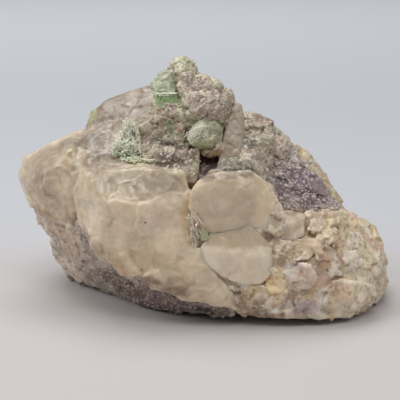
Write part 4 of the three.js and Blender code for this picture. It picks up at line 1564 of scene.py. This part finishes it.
@dataclass
class Dome:
    """The crystal of pollucite at the middle of the front, and the wedge under it."""

    disc: Lump = Lump((5.8, -33, 40), (10.4, 4.2, 10.5), 0.02, 0)
    cracked: Hull = Hull(rounding=1, corners=(
        (14.6, -30.6, 50.6), (18.4, -29.8, 47.8), (21, -29.6, 44), (22.8, -29.8, 39), (23.4, -30, 36),
        (22.4, -30.6, 32.6), (20, -32, 30.2), (14, -33.6, 29.6), (17.5, -33.6, 40), (18, -33.2, 35),
        (13, -33.6, 46), (6, -32, 50), (0, -30.6, 48), (-4.4, -29.6, 42), (-4, -30.6, 36), (1, -33, 31),
        (16, -20, 48), (23, -20, 42), (22, -20, 32), (0, -20, 32), (2, -20, 48),
    ))
    wedge: Hull = Hull(rounding=0.35, corners=(
        (-1.6, -36.4, 25.4), (0.2, -35, 29), (3, -34.2, 32.8), (9, -34.4, 34.4), (15, -34, 33.2),
        (18, -34, 29.4), (22.8, -33.4, 25.8), (23.2, -34.4, 22), (7, -38.6, 26.4), (15, -38.4, 24.6),
        (-0.4, -37.4, 23.4), (2, -38, 20.6), (5.4, -38.1, 18), (9, -38, 16.2), (13, -37.6, 15),
        (18.4, -37, 15.2), (21.6, -36.2, 18), (4, -20, 20), (22, -20, 20), (14, -20, 14),
    ))
    zones: tuple[Zone, ...] = (
        Zone((202, 185, 161), (5.8, -37, 40), (10.8, 9, 10.8), 0.85, 0.1),
        Zone((236, 215, 184), (21, -31, 38), (6, 9, 10.4), 0.8, 0.35),
        Zone((222, 204, 178), (8, -37, 33), (12, 8, 4.4), 0.7, 0.3),
        # Painted shade: these two zones darken the dome's top rim, under the overhanging sill.
        Zone((160, 145, 126), (9, -32, 50.5), (13.5, 8, 2.8), 0.85, 0.3),
        Zone((130, 112, 92), (1.2, -31, 48.6), (4.6, 6, 3.2), 0.85, 0.4),
    )
    wedge_zones: tuple[Zone, ...] = (Zone((196, 176, 149), (12, -33, 30.2), (17, 9, 5), 0.9, 0.3),)

    def build(self) -> list[bpy.types.Object]:
        """Build the round and the cracked part, grown together, and the wedge."""
        calm = replace(
            POLLUCITE, patch_share=0.3, cloud_depth=0.07, mottle_depth=0.03, streak_depth=0.0,
            vein_share=0.15, veil_depth=0.28, veil_size=7, grain_lean=0.08, grain_size=4,
            crevice=0.1, roughness=(0.2, 0.36),
        )
        dome = replace(calm, name="pollucite_dome", zones=self.zones)
        wedge = replace(
            calm, name="pollucite_wedge", tint=(250, 234, 212), patch_blend=0.25, edge=0.15,
            zones=self.wedge_zones,
        )
        relief = replace(
            EVEN, facet_size=5, facet_slope=0.05, facet_blend=0.2, grain_size=2, grain_slope=0.03,
        )
        slot = Slot.POLLUCITE
        return [
            Mass("dome_pollucite", dome, slot, relief, 0.4, 1, stands_for=("pollucite_dome",),
                 solids=(self.cracked, self.disc)).build(),
            Mass("wedge_pollucite", wedge, slot, relief, 0.4, stands_for=("pollucite_wedge",),
                 solids=(self.wedge,)).build(),
        ]


@dataclass
class Tourmalines:
    """The green tourmalines: the crystal on the crest, the spray, the stub and the splinter in the seam."""

    top: Hull = Hull(rounding=1, corners=(
        (-17, -6, 70.8), (-17, -5, 73.5), (-15.5, -4, 76), (-13, -3.5, 77.2), (-9.6, -3.5, 77.6),
        (-8.6, -4, 74), (-15.5, -9, 70.8), (-10, -9.8, 70.8), (-8.6, -7, 70.8), (-13, -1, 77), (-10, 0, 76),
        (-16, 0, 70), (-9, 0, 70), (-12, -8.4, 75),
    ))
    base: Hull = Hull(rounding=0.6, corners=(
        (-16.4, -6, 70.8), (-15.6, -9.6, 70.6), (-10.4, -10.4, 70.4), (-8.6, -7, 70.8),
        (-14.6, -10.4, 66.4), (-10, -11.4, 64), (-8, -10.4, 61.6), (-16, -4, 66), (-9, -2, 62),
        (-12, -1, 70.4),
    ))
    stub: Hull = Hull(rounding=0.5, chips=3, seed=4, corners=(
        (-5.6, -15.5, 57.4), (-3.6, -14.5, 61.3), (0, -13, 63.2), (4.1, -12.5, 62.7), (6.6, -13, 60),
        (5.8, -14.5, 55.8), (2.8, -17, 54), (-1, -17.6, 54), (-4.4, -16.6, 55.4), (-1.6, -19.2, 57.6),
        (2.6, -18.8, 57), (0.4, -17.4, 61.2), (0, -7, 60), (4, -7, 57), (-3, -8, 56),
    ))
    root: tuple[Lump, ...] = (
        Lump((-25.2, -15.8, 53.4), (3.6, 2.4, 3.6), 0.3, 5, 3),
        Lump((-23.6, -15.2, 58.6), (2.2, 1.8, 4.4), 0.3, 5, 4),
        Lump((-21.4, -16, 53.6), (2.4, 2, 2.6), 0.3, 4, 6),
    )
    splinter: Hull = Hull(rounding=0.3, corners=(
        (-1.4, -34.6, 32.6), (1.6, -35.4, 32), (1.8, -36, 29.4), (-0.6, -36.2, 28.6), (-1.6, -35.6, 30),
        (0, -30, 33), (1, -30, 28),
    ))

    def build(self) -> list[bpy.types.Object]:
        """Build the crystals and the brushes of needles."""
        slot, crest, spray = Slot.TOURMALINE, ("tourmaline_crest",), ("tourmaline_spray",)
        pale = replace(TOURMALINE, name="tourmaline_pale", tint=(166, 168, 142))
        bright = replace(TOURMALINE, name="tourmaline_bright", tint=(160, 186, 136), milk=0.45)
        stub = replace(
            TOURMALINE, name="tourmaline_stub", tint=(156, 151, 126), patch_share=0.6, patch_size=2,
            patches=((162, 164, 134), (200, 194, 170), (150, 142, 116), (182, 174, 148)),
            # Painted light: both zones put a paler tint on the stub's underside and lower left side, which
            # lie in shade.
            zones=(Zone((222, 228, 184), (0.6, -18, 55.4), (4.6, 4, 2), 0.85),
                   Zone((204, 206, 168), (-3, -17, 56.6), (3, 4, 3), 0.8)),
        )
        fibres = replace(
            TOURMALINE, name="tourmaline_fibres", tint=(240, 240, 220), cloud_size=2.4, cloud_depth=0.2,
            milk=0.3, crevice=0.0, vein_tint=(255, 251, 234),
            zones=(Zone((140, 168, 100), (-25, -20, 50.6), (7, 6, 3.6), 0.85),
                   Zone((160, 184, 128), (-27.6, -18, 55), (2.2, 6, 5), 0.65)),
        )
        tail = replace(fibres, name="tourmaline_tail", tint=(204, 208, 160))
        dark = replace(TOURMALINE, name="tourmaline_root", tint=(150, 152, 122), cloud_depth=0.3)
        cream = replace(
            ALBITE, name="seam_needles", tint=(250, 234, 206), patch_share=0.2, crevice=0.0, dark=None,
        )
        splinter = replace(TOURMALINE, name="tourmaline_splinter", tint=(176, 178, 142))
        pieces = [
            Mass("tourmaline_crest_top", pale, slot, FIBROUS, 0.3, 2, solids=(self.top,), stands_for=crest),
            Mass("tourmaline_crest_base", bright, slot, FIBROUS, 0.3, 1, solids=(self.base,),
                 stands_for=crest),
            Mass("stub_tourmaline", stub, slot, ANGULAR, 0.3, 1, solids=(self.stub,),
                 stands_for=("tourmaline_stub",)),
            Mass("tourmaline_spray_root", dark, slot, FIBROUS, 0.35, stands_for=spray, solids=self.root),
            Needles("spray_tourmaline", fibres, slot, stands_for=spray, centre=(-24.4, -18.8, 53.8),
                    half=(5.2, 2, 4.4), along=(0.2, -0.5, 1), spread=36, length=(1.2, 3.2),
                    width=(0.3, 0.8), count=260, seed=5),
            Needles("tourmaline_tips", fibres, slot, stands_for=spray, centre=(-23.7, -17, 59.6),
                    half=(3, 1.5, 4.6), along=(0.1, -0.4, 1), spread=24, length=(1.4, 3.6),
                    width=(0.3, 0.7), count=150, seed=6),
            Needles("tourmaline_tail", tail, slot, stands_for=spray, centre=(-20.4, -22.2, 51.6),
                    half=(5.8, 2, 1.1), along=(1, -0.3, -0.1), spread=34, length=(1.2, 3.4),
                    width=(0.3, 0.6), count=110, seed=7),
            Needles("crest_streaks", fibres, slot, stands_for=crest, centre=(-12.6, -10.4, 71),
                    half=(3.6, 0.5, 1.2), along=(1, 0, 0.06), spread=7, length=(2, 4), width=(0.2, 0.4),
                    count=16, seed=17),
            Needles("stub_fibres", fibres, slot, stands_for=("tourmaline_stub",), centre=(-2, -18, 59),
                    half=(3.6, 0.7, 3), along=(0.7, -0.2, 0.75), spread=20, length=(1, 2.4),
                    width=(0.14, 0.3), count=110, seed=15),
            Mass("splinter_tourmaline", splinter, slot, FIBROUS, 0.25, solids=(self.splinter,),
                 stands_for=("tourmaline_splinter",)),
            Needles("seam_needles", cream, Slot.ALBITE, centre=(-3.0, -36.3, 32.5), half=(2.4, 0.7, 6.2),
                    along=(-0.3, -0.1, 1), spread=15, length=(1.8, 4.4), width=(0.35, 0.7), count=54,
                    seed=9),
        ]
        return [piece.build() for piece in pieces]


@dataclass
class Blade:
    """The long grey blade that leans on the shoulder."""

    shaft: Hull = Hull(rounding=0.8, corners=(
        (10, -7, 67.8), (12.4, -6, 67), (13.4, -7, 62), (8.4, -9.6, 62), (4.6, -17.6, 46), (5, -17.8, 42.5),
        (11, -18, 42.5), (11.8, -16, 48), (6, -14, 55), (13, -11, 57), (9, -4, 64), (12, -4, 65),
        (6, -12, 44), (11, -12, 44), (10, -13.4, 55),
    ))

    def build(self) -> list[bpy.types.Object]:
        """Build the blade."""
        relief = replace(
            EVEN, swell_size=5, swell_height=0.4, facet_size=4, facet_slope=0.12, grain_size=0.9,
            grain_height=0.15, stretch=(1, 0.6, 0.15),
        )
        return [Mass("crystal_blade", BLADE, Slot.BLADE, relief, 0.3, 2, stands_for=("blade_crystal",),
                     solids=(self.shaft,)).build()]


@dataclass
class Studio:
    """The wide pale floor, the soft lights and the camera.

    The camera's target and distance are in mm and its elevation in degrees. The floor and the softboxes
    are in metres: each softbox has a name, a place, a size and a power in watts.
    """

    target: Point = (-1, 0, 33)
    distance: float = 480.0
    elevation: float = 14.0
    lens: float = 128.7
    floor_width: float = 6.0
    floor_roughness: float = 0.9
    # Floor tints near, midway and far back: the lighter far tint is painted light that stands in for a lit
    # backdrop.
    floor_tint: Tint = (191, 186, 185)
    middle_tint: Tint = (188, 190, 195)
    far_tint: Tint = (222, 226, 231)
    turns: tuple[Span, ...] = ((-0.02, 0.14), (0.3, 0.95))
    room: float = 0.2
    room_tint: tuple[float, float, float, float] = (0.95, 0.98, 1.0, 1)
    lit_point: Point = (0, 0, 0.03)
    softboxes: tuple[tuple[str, Point, float, float], ...] = (
        ("softbox_top", (-0.2, 0.4, 1.4), 1.0, 13.0),
        ("softbox_left", (-0.8, -0.2, 0.7), 0.6, 3.8),
        ("softbox_right", (0.8, -0.2, 0.7), 0.6, 1.6),
        ("softbox_front", (0.0, -0.6, 1.1), 0.5, 4.0),
    )

    def build(self) -> None:
        """Build the floor, the lights and the camera."""
        self._floor()
        self._lights()
        self._camera()

    def _floor(self) -> None:
        """Lay a wide floor of paper with painted light: its tint turns cooler and lighter farther back."""
        clear_selection()
        bpy.ops.mesh.primitive_plane_add(size=self.floor_width)
        floor = bpy.context.object
        floor.name = "studio_floor"
        edit_all(floor)
        bpy.ops.mesh.subdivide(number_cuts=5)
        bpy.ops.object.mode_set(mode="OBJECT")
        settle(floor)
        material = bpy.data.materials.new("studio_paper")
        material.use_nodes = True
        paper = material.node_tree.nodes["Principled BSDF"]
        sheet = NodeSheet(material.node_tree)
        here = sheet.add("ShaderNodeTexCoord").outputs["Object"]
        depth = sheet.add("ShaderNodeSeparateXYZ", {0: here}).outputs["Y"]
        shade = linear(self.floor_tint)
        for turn, tint in zip(self.turns, (self.middle_tint, self.far_tint)):
            shade = sheet.mix(sheet.span(depth, *turn), shade, linear(tint))
        sheet.feed(paper.inputs["Base Color"], shade)
        paper.inputs["Roughness"].default_value = self.floor_roughness
        floor.data.materials.append(material)

    def _lights(self) -> None:
        """Set the dim room light and the softboxes."""
        world = bpy.data.worlds.new("studio_room")
        bpy.context.scene.world = world
        world.use_nodes = True
        room = world.node_tree.nodes["Background"]
        room.inputs["Color"].default_value = self.room_tint
        room.inputs["Strength"].default_value = self.room
        for name, place, size, power in self.softboxes:
            light = bpy.data.lights.new(name, "AREA")
            light.size = size
            light.energy = power
            lamp = bpy.data.objects.new(name, light)
            bpy.context.scene.collection.objects.link(lamp)
            lamp.location = place
            lamp.rotation_mode = "QUATERNION"
            beam = Vector(self.lit_point) - lamp.location
            lamp.rotation_quaternion = beam.to_track_quat("-Z", "Y")
        bpy.context.scene.view_settings.view_transform = "Standard"

    def _camera(self) -> None:
        """Set the camera in front of the specimen and a little above it."""
        lift = math.radians(self.elevation)
        back = Vector((0, -math.cos(lift), math.sin(lift)))
        camera = bpy.data.objects.new("camera", bpy.data.cameras.new("camera"))
        bpy.context.scene.collection.objects.link(camera)
        camera.data.lens = self.lens
        camera.data.clip_start = 0.05
        camera.location = (Vector(self.target) + back * self.distance) * MM
        camera.rotation_mode = "QUATERNION"
        camera.rotation_quaternion = (-back).to_track_quat("-Z", "Y")
        bpy.context.scene.camera = camera


def main() -> None:
    """Build the specimen and its studio, and log how many pieces each part has."""
    logging.basicConfig(level=logging.INFO, format="%(message)s")
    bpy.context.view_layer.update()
    assemblies = (
        PolluciteBody(), LepidoliteBed(), Crest(), RightEnd(), BackOfRock(), Dome(), Tourmalines(), Blade(),
    )
    for assembly in assemblies:
        pieces = assembly.build()
        LOG.info("%s: %d pieces", type(assembly).__name__, len(pieces))
    Studio().build()
    clear_selection()


if __name__ == "__main__":
    main()
